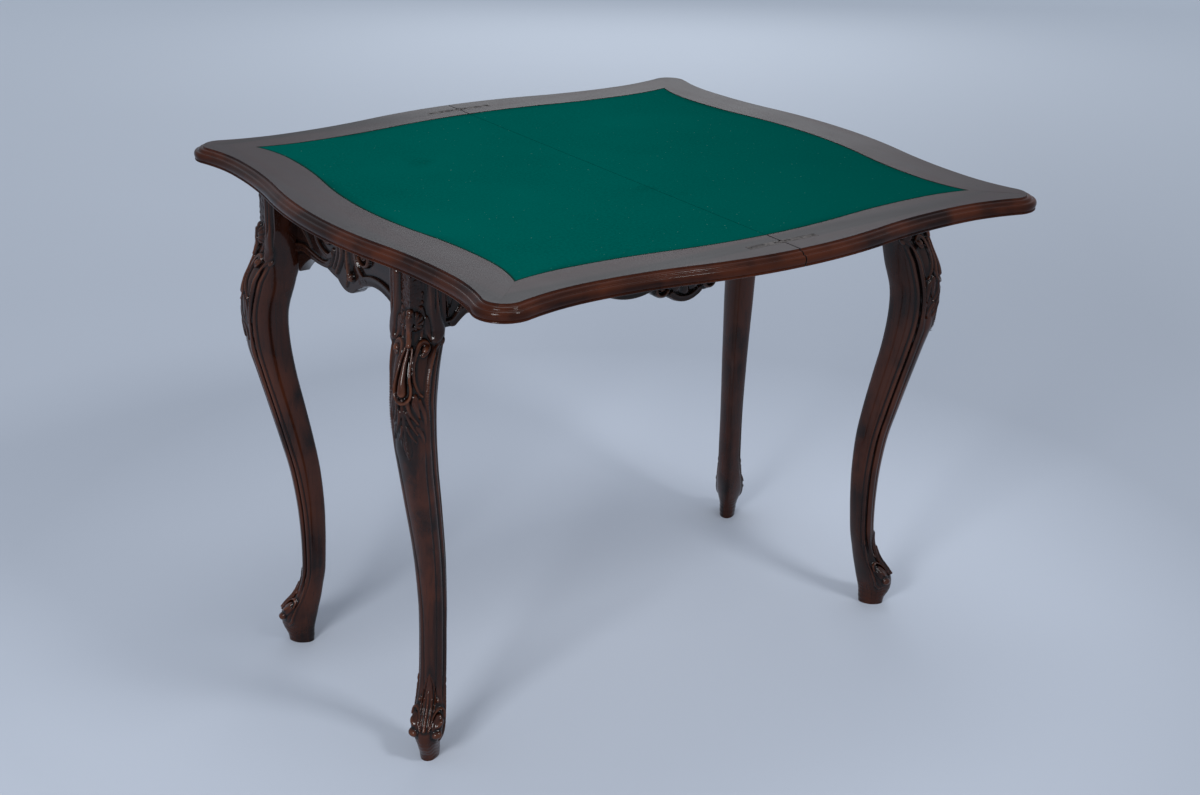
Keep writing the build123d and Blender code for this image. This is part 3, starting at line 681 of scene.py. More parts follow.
def baizeLine(middle, depth, corner):
    # Serpentine to the waist and one arc from there to the pointed corner
    waist = (middle - depth, corner[1] - top["baizeWaistToCorner"])
    rise = corner[0] - waist[0]
    run = top["baizeWaistToCorner"]
    radius = (rise**2 + run**2) / (2 * rise)
    along = np.linspace(0, run, top["arcPoints"])[1:]
    bend = waist[0] + radius - np.sqrt(radius**2 - along**2)
    return np.vstack([serpentine(middle, depth, waist[1]), np.stack([bend, waist[1] + along], -1)])


def wholeEnd(line):
    # The half beyond the middle and its mirror image before it
    return np.vstack([line[:0:-1] * np.array([1, -1]), line])


endOuter = wholeEnd(borderLine(top["endReach"], top["endWaist"], top["endWaistToEar"], (earX, earY)))
endInner = wholeEnd(baizeLine(baizeEnd, top["baizeEndWaist"], baizeCorner))
sideOuter = borderLine(top["sideReach"], top["sideWaist"], top["sideWaistToEar"], (earY, earX))
sideInner = baizeLine(baizeSide, top["baizeSideWaist"], baizeCorner[::-1])


def sectionProfile():
    # The closed section: share of the way over the border, reach beyond it and drop
    over = np.linspace(0, 1, moulding["flatSteps"])
    flat = np.stack([over, 0 * over, 0 * over], -1)
    reach, crown, quirk = moulding["beadReach"], moulding["beadCrown"], moulding["quirk"]
    start = quirk[-1][0]
    turn = np.linspace(0, math.pi / 2, moulding["beadSteps"])
    bow = moulding["beadTop"] - crown * (1 - np.cos(turn))
    topSide = np.stack([start + (reach - start) * np.sin(turn), bow], -1)
    aside = (turn - moulding["hollowAt"]) / moulding["hollowWide"]
    hollow = moulding["hollowDeep"] * np.exp(-(aside**2))
    topSide -= hollow[:, None] * np.stack([np.sin(turn), np.cos(turn)], -1)
    low = moulding["beadTop"] - crown
    fall = np.linspace(0, 1, moulding["fallSteps"])[1:]
    tuck = moulding["beadTuck"] * fall**2.2
    under = np.stack([reach - tuck, low + (moulding["beadFoot"] - low) * fall], -1)
    outside = np.vstack([quirk[1:], topSide[1:], under, moulding["fillet"]])
    outside = np.column_stack([np.ones(len(outside)), outside])
    foot = -top["thickness"]
    back = np.array([(1.0, 11.8, foot), (1.0, 4.0, foot), (0.75, 0, foot), (0.35, 0, foot), (0.0, 0, foot)])
    wall = np.array([(0.0, 0, foot * 0.7), (0.0, 0, foot * 0.3), (0.0, 0, -0.4)])
    return np.vstack([flat, outside, back, wall]), len(flat)


section, flatPoints = sectionProfile()


def moulded(name, inner, outer, swap, sign):
    # Section carried along the pair of outlines; the bead stands off along the outer one's normal
    count = top["stations"]
    inside, outside = evenly(inner, count), evenly(outer, count)
    ahead = np.gradient(outside, axis=0)
    ahead /= np.hypot(*ahead.T)[:, None]
    normal = np.stack([ahead[:, 1], -ahead[:, 0]], -1)
    normal[-1] = (diagonal, diagonal)
    normal[0] = (1, 0) if swap else (diagonal, -diagonal)
    over, reach, drop = section.T
    flat = inside[:, None] + (outside - inside)[:, None] * over[None, :, None]
    flat = flat + normal[:, None] * reach[None, :, None]
    level = np.broadcast_to(top["level"] + drop, flat.shape[:2]).copy()
    sway = np.sin(np.linspace(0, 9, count) + len(name))[:, None] * np.sin(over * 3)[None]
    level[:, 2:flatPoints - 1] += top["flatWave"] * sway[:, 2:flatPoints - 1] - top["flatWave"]
    xy = flat[..., ::-1] if swap else flat
    points = np.stack([np.maximum(xy[..., 0], top["foldGap"]) * sign[0], xy[..., 1] * sign[1], level], -1)
    vertices, groups, carved = cappedLoops(points, np.full(points.shape[:2], 0.5))
    return makeMesh(name + "_moulded", vertices, groups, moulding["sharpAngle"], carved)


def dressRail(piece, swap, under):
    # Slot 0 is the flat, slot 1 the polished moulding, slot 2 the underside and slot 3 the end in the fold,
    # painted near black as the shade in the gap
    mesh = piece.data
    mesh.materials.clear()
    for finish in ((borderAlong, beadAlong) if swap else (borderAcross, beadAcross)) + (under, foldEndShade):
        mesh.materials.append(finish)
    normals = np.empty(len(mesh.polygons) * 3, np.float32)
    centres = np.empty(len(mesh.polygons) * 3, np.float32)
    mesh.polygons.foreach_get("normal", normals)
    mesh.polygons.foreach_get("center", centres)
    up = normals[2::3]
    level = centres[2::3] / mm
    kind = np.where(level < top["level"] - top["flatTo"], 1, 0)
    kind = np.where((up < -0.95) & (level < top["level"] - top["underFrom"]), 2, kind)
    inFold = (np.abs(centres[0::3] / mm) < top["foldWithin"]) & (np.abs(normals[0::3]) > 0.9)
    kind = np.where(inFold, 3, kind)
    mesh.polygons.foreach_set("material_index", kind.astype(np.int32))


def cutterBox(x, y, z):
    # Closed box between three pairs of limits
    corners = np.array([(x[i], y[j], z[k]) for i in (0, 1) for j in (0, 1) for k in (0, 1)], float)
    quads = np.array([(0, 1, 3, 2), (4, 6, 7, 5), (0, 4, 5, 1), (2, 3, 7, 6), (0, 2, 6, 4), (1, 5, 7, 3)])
    return makeMesh("seatCutter", corners, [quads])


def cutAway(piece, cutters):
    # Exact boolean difference, applied at once
    for cutter in cutters:
        step = piece.modifiers.new("seat", "BOOLEAN")
        step.operation = "DIFFERENCE"
        step.solver = "EXACT"
        step.object = cutter
    graph = bpy.context.evaluated_depsgraph_get()
    whole = bpy.data.meshes.new_from_object(piece.evaluated_get(graph))
    piece.modifiers.clear()
    piece.data = whole
    for cutter in cutters:
        bpy.data.objects.remove(cutter)
    whole.shade_smooth()
    whole.set_sharp_from_angle(angle=math.radians(moulding["sharpAngle"]))


hinge = {  # card-table hinge: a plate let into the border at the fold, and its three screws
    "station": 413.0,
    "length": 56.0,
    "width": 11.0,
    "thickness": 2.0,
    "knuckle": 5.4,
    "knuckleFoot": 745.4,
    "seatGap": 0.1,
    "screwPlaces": (11.8, 31.7, 51.6),
    "screwHead": 2.7,
    "screwProud": 0.05,
    "slotWide": 0.45,
    "slotDeep": 0.8,
    "over": 4.0,  # how far the seats' cutters stand above the top
    "pastFold": (2.0, 3.0),  # and past the fold, for the plate and for its knuckle
    "roomBelow": (0.1, 0.4),
}


def hingeSeats(signX, signY):
    # The shallow seat of the plate and the deeper one of its knuckle
    gap = hinge["seatGap"]
    half = hinge["width"] / 2 + gap
    y = sorted((signY * (hinge["station"] - half), signY * (hinge["station"] + half)))
    far = top["halfGap"] + hinge["length"] + gap
    near = top["halfGap"] + hinge["knuckle"] + gap
    over = top["level"] + hinge["over"]
    feet = (top["level"] - hinge["thickness"], hinge["knuckleFoot"])
    seats = zip(hinge["pastFold"], (far, near), feet, hinge["roomBelow"])
    return [
        cutterBox(sorted((-signX * past, signX * end)), y, (foot - room, over))
        for past, end, foot, room in seats
    ]


def sideFrom(line):
    # A side rail starts at the fold, half a gap from the middle
    start = np.array([np.interp(top["halfGap"], line[:, 1], line[:, 0]), top["halfGap"]])
    return np.vstack([start, line[line[:, 1] > top["halfGap"]]])


leaves = (("lower", 1, "lower_leaf"), ("upper", -1, "upper_leaf"))
for leafName, signX, body in leaves:
    nodeName = leafName + "_end_rail"
    rail = moulded(nodeName, endInner, endOuter, False, (signX, 1))
    under = coreTimber if leafName == "lower" else outerVeneer
    dressRail(rail, False, under)
    ridesOn(rail, body, "border_wood", nodeName)
    for sideName, signY in (("near", -1), ("far", 1)):
        nodeName = leafName + "_" + sideName + "_rail"
        rail = moulded(nodeName, sideFrom(sideInner), sideFrom(sideOuter), True, (signX, signY))
        cutAway(rail, hingeSeats(signX, signY))
        dressRail(rail, True, under)
        ridesOn(rail, body, "border_wood", nodeName)
print("rails made")


def screwHeads(name, places, level, turns):
    # Round head as rings of a disc, its slot pressed in along one diameter
    rings = np.array([0.3, 0.6, 0.9, 0.985, 1.0, 0.92])[:, None]
    falls = np.array([0.0, 0.0, 0.0, 0.04, 0.16, 0.9])[:, None]
    angle = np.linspace(0, 2 * math.pi, 48, endpoint=False)
    radius = hinge["screwHead"] * rings
    x = radius * np.cos(angle)
    y = radius * np.sin(angle)
    z = np.broadcast_to(-falls, x.shape).copy()
    z -= hinge["slotDeep"] * (np.abs(y) < hinge["slotWide"]) * (falls < 0.5)
    one = np.stack([x, y, z], -1)
    heads = []
    for (px, py), turn in zip(places, turns):
        c, s = math.cos(turn), math.sin(turn)
        spun = one @ np.array([(c, s, 0), (-s, c, 0), (0, 0, 1)]) + np.array([px, py, level])
        ring, groups, _ = cappedLoops(spun)
        ring[-2] = (px, py, level - hinge["slotDeep"])
        heads.append((ring, groups))
    return joinedLoops(name, heads, sharpAngle=30)


screwTurns = np.random.default_rng(11)
for leafName, signX, body in leaves:
    places = [(signX * x, side * hinge["station"]) for x in hinge["screwPlaces"] for side in (-1, 1)]
    turns = screwTurns.uniform(0, 3, len(places))
    heads = screwHeads(leafName + "_hinge_screw_heads", places, top["level"] + hinge["screwProud"], turns)
    heads.data.materials.append(screwSteel)
    ridesOn(heads, body, "screw_steel", leafName + "_hinge_screws")


# Baize: each half is a Coons patch between the fold, the two sides and the end

baize = {
    "edgeGap": 0.35,
    "foldEdge": 0.5,
    "thickness": 0.9,
    "level": 749.9,
    "across": 110,
    "along": 230,
    "wave": 0.10,
    "edgeDrop": 0.35,
    "edgeCells": 8,  # over which the waves rise and the soiling and painted edge shade thin
}


def coonsPatch(left, right, low, high):
    # Sum of the two ruled surfaces less the bilinear one through the corners
    u = np.linspace(0, 1, len(low))[:, None, None]
    v = np.linspace(0, 1, len(left))[None, :, None]
    ruledU = (1 - u) * left[None] + u * right[None]
    ruledV = (1 - v) * low[:, None] + v * high[:, None]
    corners = (1 - u) * ((1 - v) * left[0] + v * left[-1]) + u * ((1 - v) * right[0] + v * right[-1])
    return ruledU + ruledV - corners


def baizeHalf(name, signX, body, node):
    # The patch with soft waves, k sin(x / a) sin(y / b), closed below at the cloth's thickness
    gap = baize["edgeGap"]
    end = evenly(endInner, baize["along"]) - np.array([gap, 0])
    end[:, 1] *= (baizeCorner[1] - gap) / baizeCorner[1]
    side = sideInner[sideInner[:, 1] > baize["foldEdge"]]
    side = np.vstack([[baizeSide, baize["foldEdge"]], side])
    far = evenly(side, baize["across"])[:, ::-1] - np.array([0, gap])
    far[:, 0] = np.interp(far[:, 0], [baize["foldEdge"], baizeCorner[0]], [baize["foldEdge"], end[-1, 0]])
    near = far * np.array([1, -1])
    foldY = np.linspace(near[0, 1], far[0, 1], baize["along"])
    fold = np.stack([np.full(baize["along"], baize["foldEdge"]), foldY], -1)
    sheet = coonsPatch(fold, end, near, far)
    x, y = sheet[..., 0], sheet[..., 1]
    wave = np.sin(x / 41 + 0.6 * np.sin(y / 63)) * np.sin(y / 57 + 0.8 * np.sin(x / 71))
    u = np.linspace(0, 1, baize["across"])[:, None]
    v = np.linspace(0, 1, baize["along"])[None]
    inward = np.minimum(np.minimum(u, 1 - u) * baize["across"], np.minimum(v, 1 - v) * baize["along"])
    level = baize["level"] + baize["wave"] * (wave - 1) * np.clip(inward / baize["edgeCells"], 0, 1)
    level -= baize["edgeDrop"] * (inward < 0.5)
    upper = np.stack([x * signX, y, level], -1)
    lower = np.stack([x * signX, y, np.full_like(x, baize["level"] - baize["thickness"])], -1)
    rows, columns = x.shape
    index = np.arange(rows * columns).reshape(rows, columns)
    quads = np.stack([index[:-1, :-1], index[1:, :-1], index[1:, 1:], index[:-1, 1:]], -1).reshape(-1, 4)
    rim = np.concatenate([index[0, :-1], index[:-1, -1], index[-1, :0:-1], index[:0:-1, 0]])
    shift = rows * columns
    beside = np.roll(rim, -1)
    walls = np.stack([rim, beside, beside + shift, rim + shift], -1)
    vertices = np.vstack([upper.reshape(-1, 3), lower.reshape(-1, 3)])
    groups = [np.vstack([quads, quads[:, ::-1] + shift, walls])]
    fromEdgeCells = np.minimum((1 - u) * baize["across"], np.minimum(v, 1 - v) * baize["along"])
    edgeSoilAndShade = np.concatenate([np.clip(fromEdgeCells / baize["edgeCells"], 0, 1).ravel(), np.ones(x.size)])
    cloth = makeMesh(name, vertices, groups, sharpAngle=50, carved=edgeSoilAndShade)
    cloth.data.materials.append(baizeCloth)
    ridesOn(cloth, body, "baize", node)


for leafName, signX, body in leaves:
    baizeHalf(leafName + "_baize_cloth", signX, body, leafName + "_baize")
print("baize laid")


# Legs: a superellipse section over the height, with the carving raised on it

leg = {
    "footX": 420.0,
    "footY": 196.0,
    "postSide": 52.0,
    "postFoot": 635.5,
    "height": 727.4,
    "squareBetween": (596, 652),
    "pegBetween": (14, 44),
    "toeTo": 104,
    "carvedFrom": 462,
    "rowSteps": (1.15, 4.2, 0.86),  # toe, plain leg and carved part
    "aroundFront": 132,
    "aroundBack": 16,
    "frontReach": 0.6,
    "backAway": 40.0,
    "carvedDepth": 3.0,
    "stipples": 130,
    "sharpAngle": 60,
    "easeFrom": 472.0,  # the knee's reach from here on is eased into the room beyond
    "easeRoom": 4.2,
    "ovalPower": 2.0,
    "innerPower": 1.32,
    "postPower": 1.05,
}
# Height as a share of the post's foot, then outer edge, inner edge and half width as shares of the post
legStations = [
    (0.000, 0.34, -0.42, 0.25),
    (0.016, 0.38, -0.44, 0.27),
    (0.039, 0.52, -0.46, 0.30),
    (0.071, 0.60, -0.56, 0.42),
    (0.098, 0.42, -0.63, 0.43),
    (0.126, 0.17, -0.70, 0.41),
    (0.156, 0.02, -0.76, 0.39),
    (0.195, -0.09, -0.84, 0.385),
    (0.246, -0.12, -0.89, 0.385),
    (0.309, -0.11, -0.93, 0.385),
    (0.381, -0.05, -0.94, 0.40),
    (0.466, 0.10, -0.88, 0.43),
    (0.546, 0.35, -0.73, 0.46),
    (0.630, 0.63, -0.53, 0.50),
    (0.711, 0.91, -0.33, 0.53),
    (0.791, 1.19, -0.21, 0.57),
    (0.859, 1.27, -0.22, 0.60),
    (0.922, 1.13, -0.42, 0.62),
    (0.973, 0.90, -0.55, 0.64),
    (1.019, 0.71, -0.69, 0.69),
    (1.046, 0.7071, -0.7071, 0.7071),
    (1.150, 0.7071, -0.7071, 0.7071),
]


def legSection(around, height):
    # Diagonal and tangential place: two half superellipses that meet at the widest line
    table = smoothLine(legStations, 12)
    shares = [np.interp(height / leg["postFoot"], table[:, 0], table[:, column]) for column in (1, 2, 3)]
    outer, inner, half = [share * leg["postSide"] for share in shares]
    square = easedStep(height, *leg["squareBetween"])
    middle = (inner + 0.50 * (outer - inner)) * (1 - square)
    peg = 1 - easedStep(height, *leg["pegBetween"])
    frontPower = leg["ovalPower"] * (1 - square) + leg["postPower"] * square
    backPower = (leg["innerPower"] + 0.6 * peg) * (1 - square) + leg["postPower"] * square
    front = np.abs(around) <= 0.5
    power = np.where(front, frontPower, backPower)
    angle = np.where(front, np.abs(around), 1 - np.abs(around)) * math.pi
    c = np.cos(angle).clip(0)
    s = np.sin(angle).clip(0)
    size = (c**power + s**power) ** (-1 / power)
    outwards = np.where(front, outer - middle, inner - middle)
    return middle + outwards * size * c, np.sign(around) * half * size * s


def hump(value, centre, half):
    # Smooth hump of height one: (1 - q^2)^2
    q = np.clip((value - centre) / half, -1, 1)
    return (1 - q * q) ** 2


def carveLeg(away, height, groove):
    # Heights over distance from the front ridge and height up the leg, so both halves are alike
    work = Relief(away, height)
    # Post: stippled ground with pearls beside it, and two hanging petals
    seeded = np.random.default_rng(23)
    for _ in range(leg["stipples"]):
        spot = (seeded.uniform(0, 17), seeded.uniform(671, 724))
        size = seeded.uniform(1.5, 2.9)
        radii = (size, size * seeded.uniform(0.9, 1.5))
        work.boss(spot, radii, seeded.uniform(0.4, 1.0), seeded.uniform(0, 90))
    for step in range(3):
        work.boss((19.0, 700 - 12.0 * step), (2.4, 3.0), 1.5)
    work.petal([(33, 722), (33, 690), (37, 662), (42, 642)], 11.0, 4.2, 0.75, 1.05)
    work.groove([(24, 716), (26, 690), (29, 662), (33, 640)], 2.2, 1.4)
    work.leaf([(17, 680), (19, 660), (18, 636)], 6.5, 3.4)
    work.leaf([(24, 666), (27, 650), (33, 634)], 6.0, 4.4)
    # Flower over the knee: half a palmette as a dome with five grooves, beside a long hanging bead
    work.boss((0, 675), (8.0, 7.5), 5.2)
    work.boss((9.5, 664), (12.5, 14.0), 7.2, 15)
    for tip in ((8, 680), (16, 677), (21, 668), (20, 657), (13, 650)):
        work.groove([(4, 660), ((4 + tip[0]) / 2, (660 + tip[1]) / 2 + 0.8), tip], 1.8, 1.5)
    work.cord([(0, 672), (0, 650), (1, 634)], 4.4, 8.0, 0.9, 0.7)
    # Knee: drop-shaped cabochon in its rim, and the C-scroll beside it
    work.cord([(0, 631), (0, 604), (0, 577)], 6.4, 8.4, 0.36, 1.1)
    work.cord(
        [(4.6, 631), (7.0, 618), (8.0, 606), (9.8, 594), (12.6, 581), (11.5, 571), (6.5, 565), (0, 563)],
        2.6, 6.4, 0.8, 1.1,
    )
    work.cord(
        [(24, 622), (27.5, 627), (26, 633), (20, 636), (14.5, 632), (11.6, 622), (12.2, 608), (15.2, 596),
         (20, 584), (26, 575), (30, 571)],
        4.2, 6.8, 1.1, 0.35, 0.35,
    )
    work.boss((24.5, 628), (5.8, 5.8), 7.6)
    work.groove([(23, 618), (22.5, 600), (27, 580)], 7.0, 1.8)
    work.cord([(37, 500), (37, 560), (38, 606), (41, 623), (46, 632), (51, 632)], 5.4, 3.2, 0.1, 0.8, 0.1)
    work.boss((52, 631), (4.2, 5.6), 3.2)
    # Acanthus below the knee: leaflets that fall away from a spine
    edge = 31 * np.clip((height - 479) / 88, 0.001, 1) ** 0.8
    plate = 1.2 * easedStep(edge - away, 0, 6.0) * (height > 479) * (1 - easedStep(height, 556, 574))
    work.height = np.maximum(work.height, plate)
    work.leaf([(18, 571), (20.5, 558), (24, 541)], 7.0, 5.0)
    work.groove([(17, 563), (20, 554), (23, 547)], 1.5, 1.0)
    work.cord([(8, 566), (11, 550), (20, 535)], 3.8, 5.4, 1.1, 0.45, 0.1)
    work.cord([(5, 551), (9, 537), (17, 520)], 3.6, 5.0, 1.1, 0.45, 0.1)
    work.cord([(3.5, 531), (7, 520), (13.5, 509)], 3.0, 4.2, 1.1, 0.45)
    work.leaf([(26, 566), (31, 549), (32, 531)], 4.2, 4.0)
    work.leaf([(17, 530), (24, 519), (26, 506)], 3.8, 3.4)
    work.leaf([(0, 567), (0, 528), (0, 481)], 4.6, 5.0)
    work.groove([(6, 512), (6.5, 500), (4, 488)], 1.4, 0.9)
    # Toe: a volute with two beads, the tapered leaf on the ridge, and the strip that curls below
    work.petal([(0, 125), (0, 100), (0, 64)], 11.5, 2.2, 0.15, 1.0)
    work.cord([(0, 101), (0, 84), (0, 55)], 2.5, 5.8, 0.5, 1.1)
    work.cord([(6.2, 92), (5.8, 76), (5.4, 60)], 1.9, 4.4, 0.5, 1.0)
    work.cord([(2.5, 122), (8.5, 106), (10.8, 90), (10.2, 76)], 1.1, 3.2, 0.6, 1.0)
    work.boss((14.5, 89), (2.4, 3.4), 3.0)
    work.boss((20, 61), (11.0, 13.0), 4.6)
    work.groove([(10.5, 66), (14.5, 72.5), (21.5, 73), (27, 66)], 2.0, 2.4)
    work.cord([(8.6, 62), (11, 72), (18, 78.5), (26, 75), (30.5, 66)], 1.9, 5.0, 0.7, 0.8)
    work.boss((19.5, 61.5), (4.8, 7.4), 7.8, -35)
    work.cord([(8.4, 60), (6.2, 54)], 2.2, 4.8, 1.0, 0.7)
    work.boss((19.5, 47.5), (7.2, 7.2), 8.6)
    work.cord([(26, 118), (29, 90), (34, 68), (38, 53), (36.5, 41), (28, 33)], 4.4, 3.8, 0.2, 0.5, 0.15)
    # Mouldings that follow the leg: a crease, a rounded strip, a deep groove and a thin rib
    lower = easedStep(height, 66, 128)
    knee = 1 - easedStep(height, 612, 632)
    upper = easedStep(height, 664, 690)
    past = away - groove
    cut = 3.4 * hump(past, 0, 2.9) + 1.6 * hump(past, 9.4, 2.4) - 0.8 * hump(past, 5.0, 3.0)
    crease = 1.0 * hump(past, -13.0, 1.9) * (1 - easedStep(height, 470, 500))
    strip = 1.1 * hump(past, -6.8, 5.8)
    work.height += (strip - cut - crease) * lower * np.maximum(knee, 0.75 * upper)
    rasped = np.sin(height * 0.9 + 2 * np.sin(away * 0.3)) * (1 - easedStep(height, 30, 44))
    work.height += 0.16 * rasped
    return work


def legRows():
    # Close rows where the carving is, wide ones down the plain leg
    toeStep, plainStep, carvedStep = leg["rowSteps"]
    toe = np.arange(0, leg["toeTo"], toeStep)
    plain = np.arange(leg["toeTo"], leg["carvedFrom"], plainStep)
    carvedRows = np.arange(leg["carvedFrom"], leg["height"], carvedStep)
    return np.concatenate([toe, plain, carvedRows, [leg["height"]]])


def legColumns():
    # Shares of the half turn from the ridge, in -1 to 1: close in front, wide at the back
    reach = leg["frontReach"]
    front = np.linspace(-reach, reach, leg["aroundFront"] + 1)
    back = np.linspace(reach, 2 - reach, leg["aroundBack"] + 2)[1:-1]
    back = np.where(back > 1, back - 2, back)
    return np.concatenate([front, back])


legHeights = legRows()
legAround = legColumns()
legGridAround, legGridHeight = np.meshgrid(legAround, legHeights)
legOut, legSide = legSection(legGridAround, legGridHeight)

# The knee of the front left leg is carved a little towards the short side
kneeLean = [
    (0, 0.0), (480, 0.0), (514, -2.0), (542, -4.0), (562, -7.0), (592, -7.0), (612, -5.0), (628, -2.0),
    (730, 0.0),
]


def arcFromRidge(out, side):
    # Length round the section from the front ridge, signed; the back columns count as out of reach
    count = leg["aroundFront"] + 1
    steps = np.hypot(np.diff(out[:, :count], axis=1), np.diff(side[:, :count], axis=1))
    length = np.concatenate([np.zeros((len(out), 1)), np.cumsum(steps, axis=1)], 1)
    middle = leg["aroundFront"] // 2
    away = length - length[:, middle:middle + 1]
    rest = np.repeat(away[:, -1:] + leg["backAway"], out.shape[1] - count, axis=1)
    return np.concatenate([away, rest], 1)


legArc = arcFromRidge(legOut, legSide)


def grooveLine():
    # Distance of the deep groove from the ridge at each height: a set share of the way round
    share = 0.365 + 0.035 * easedStep(legHeights, 450, 560) - 0.03 * easedStep(legHeights, 640, 670)
    front = leg["aroundFront"] + 1
    return np.array([np.interp(at, legAround[:front], arc[:front]) for at, arc in zip(share, legArc)])


legGroove = grooveLine()[:, None]


def legCarving(lean):
    # The relief stands on the section's own normal; the ground is sunk so that it ends flush
    shift = np.interp(legHeights, *np.array(lean).T)[:, None]
    away = np.abs(legArc - shift)
    work = carveLeg(away, legGridHeight, legGroove)
    dOut = np.gradient(np.concatenate([legOut[:, -1:], legOut, legOut[:, :1]], 1), axis=1)[:, 1:-1]
    dSide = np.gradient(np.concatenate([legSide[:, -1:], legSide, legSide[:, :1]], 1), axis=1)[:, 1:-1]
    size = np.hypot(dOut, dSide)
    window = easedStep(legGridHeight, 484, 520) * (1 - 0.45 * easedStep(legGridHeight, 632, 660))
    window += 0.75 * (1 - easedStep(legGridHeight, 104, 130)) * easedStep(legGridHeight, 26, 46)
    sunk = leg["carvedDepth"] * window * (1 - easedStep(away, legGroove - 13, legGroove - 2))
    raised = work.height - sunk
    return legOut + raised * dSide / size, legSide - raised * dOut / size, work.cavity(5, 5.0)


straight = [(0, 0.0), (730, 0.0)]
evenCarving = legCarving(straight)
leaningCarving = legCarving(kneeLean)

# Each leg was sawn by hand: its drift to the right at each height, and how much thinner it came out
plainLeg = {"carving": evenCarving, "deeper": 0.0, "narrower": 0.0, "drift": straight}
handmadeLegs = {
    "leg_front_left": dict(
        plainLeg, hands=(-1, -1), carving=leaningCarving, narrower=0.035,
        drift=[(0, 2.6), (84, 3.0), (222, 5.0), (337, 4.0), (450, 1.4), (560, 0.0), (730, 0.0)],
    ),
    "leg_front_right": dict(plainLeg, hands=(1, -1)),
    "leg_back_left": dict(
        plainLeg, hands=(-1, 1), deeper=0.07,
        drift=[(0, -5.5), (60, -5.5), (130, -2.2), (283, -4.0), (494, -5.6), (600, -7.0), (645, -4.5),
               (680, 0.0), (730, 0.0)],
    ),
    "leg_back_right": dict(
        plainLeg, hands=(1, 1), narrower=0.05,
        drift=[(0, 3.0), (60, 4.5), (520, 5.0), (640, 3.5), (680, 0.0), (730, 0.0)],
    ),
}
for nodeName, own in handmadeLegs.items():
    signX, signY = own["hands"]
    carvedOut, carvedSide, cavity = own["carving"]
    plain = easedStep(legGridHeight, 60, 140) * (1 - easedStep(legGridHeight, 560, 640))
    middle = carvedOut.mean(1, keepdims=True)
    carvedOut = middle + (carvedOut - middle) * (1 - own["deeper"] * plain)
    carvedSide = carvedSide * (1 - own["narrower"] * plain)
    drift = np.interp(legHeights, *np.array(own["drift"]).T)[:, None]
    x = signX * (leg["footX"] + diagonal * (carvedOut - carvedSide)) + toTheRight[0] * drift
    # The knee eases to the width of the top: s + r tanh((|x| - s) / r)
    start, room = leg["easeFrom"], leg["easeRoom"]
    x = np.where(np.abs(x) > start, np.sign(x) * (start + room * np.tanh((np.abs(x) - start) / room)), x)
    y = signY * (leg["footY"] + diagonal * (carvedOut + carvedSide)) + toTheRight[1] * drift
    points, groups, carved = cappedLoops(np.stack([x, y, legGridHeight], -1), cavity)
    piece = makeMesh(nodeName + "_carved", points, groups, leg["sharpAngle"], carved)
    piece.data.materials.append(legWood)
    ridesOn(piece, "frame", "frame_wood", nodeName)
print("legs carved")


# Aprons: a board whose lower edge is a chain of arcs, carved on its face

longApron = {
    "halfSpan": 394.0,
    "face": 208.0,
    "drop": 121.5,
    "edge": [
        (1.000, 0.720), (0.974, 0.708), (0.949, 0.712), (0.925, 0.640), (0.888, 0.566), (0.711, 0.481),
        (0.520, 0.556), (0.415, 0.650), (0.325, 0.770), (0.228, 0.836), (0.145, 0.790), (0.106, 0.905),
        (0.074, 0.900),
    ],
    "pendant": 0.0,
    "columns": 560,
}
shortApron = {
    "halfSpan": 170.0,
    "face": 412.0,
    "drop": 100.0,
    "edge": [
        (1.000, 1.127), (0.900, 0.975), (0.765, 0.835), (0.640, 0.825), (0.480, 0.815), (0.370, 0.865),
        (0.270, 0.895),
    ],
    "otherEdge": [
        (1.000, 1.127), (0.859, 0.990), (0.718, 0.805), (0.500, 0.688), (0.300, 0.720), (0.170, 0.800),
        (0.060, 0.880),
    ],
    "pendant": 0.115,
    "columns": 300,
}
apronBoard = {
    "thickness": 18.0,
    "level": 727.3,
    "rounding": 2.4,
    "bevel": 1.0,
    "sharpAngle": 60,
    "frontRows": 92,
    "backRows": 8,
}


def lowerEdge(form, along):
    # Depth of the lower edge below the frame's top: arcs from both posts, then one through the tip
    chain = []
    feet = []
    for hand, edge in ((-1, form.get("otherEdge", form["edge"])), (1, form["edge"])):
        points = [(hand * a * form["halfSpan"], d * form["drop"]) for a, d in edge]
        chain += [arcThrough(*points[i:i + 3]) for i in range(0, len(points) - 2, 2)]
        feet.append(points[-1])
    chain.append(arcThrough(feet[0], (form["pendant"] * form["halfSpan"], form["drop"]), feet[1]))
    chain = np.vstack(chain)
    order = np.argsort(chain[:, 0], kind="stable")
    return np.interp(along, chain[order, 0], chain[order, 1])


def handed(hand, *points):
    # The points on one hand of the middle, as they are or mirrored
    return [(hand * across, level) for across, level in points]


def edgeBand(work, form, start, end, rise, wide, high):
    # Broad hollowed cord that keeps a set height above the lower edge
    along = np.linspace(start, end, 26)
    depth = lowerEdge(form, along)
    slope = np.gradient(depth, along)
    lean = np.hypot(1, slope)
    points = np.stack([along + rise * slope / lean, apronBoard["level"] - depth + rise / lean], -1)
    work.cord(points, wide, high, 1.0, 1.0, 0.45)


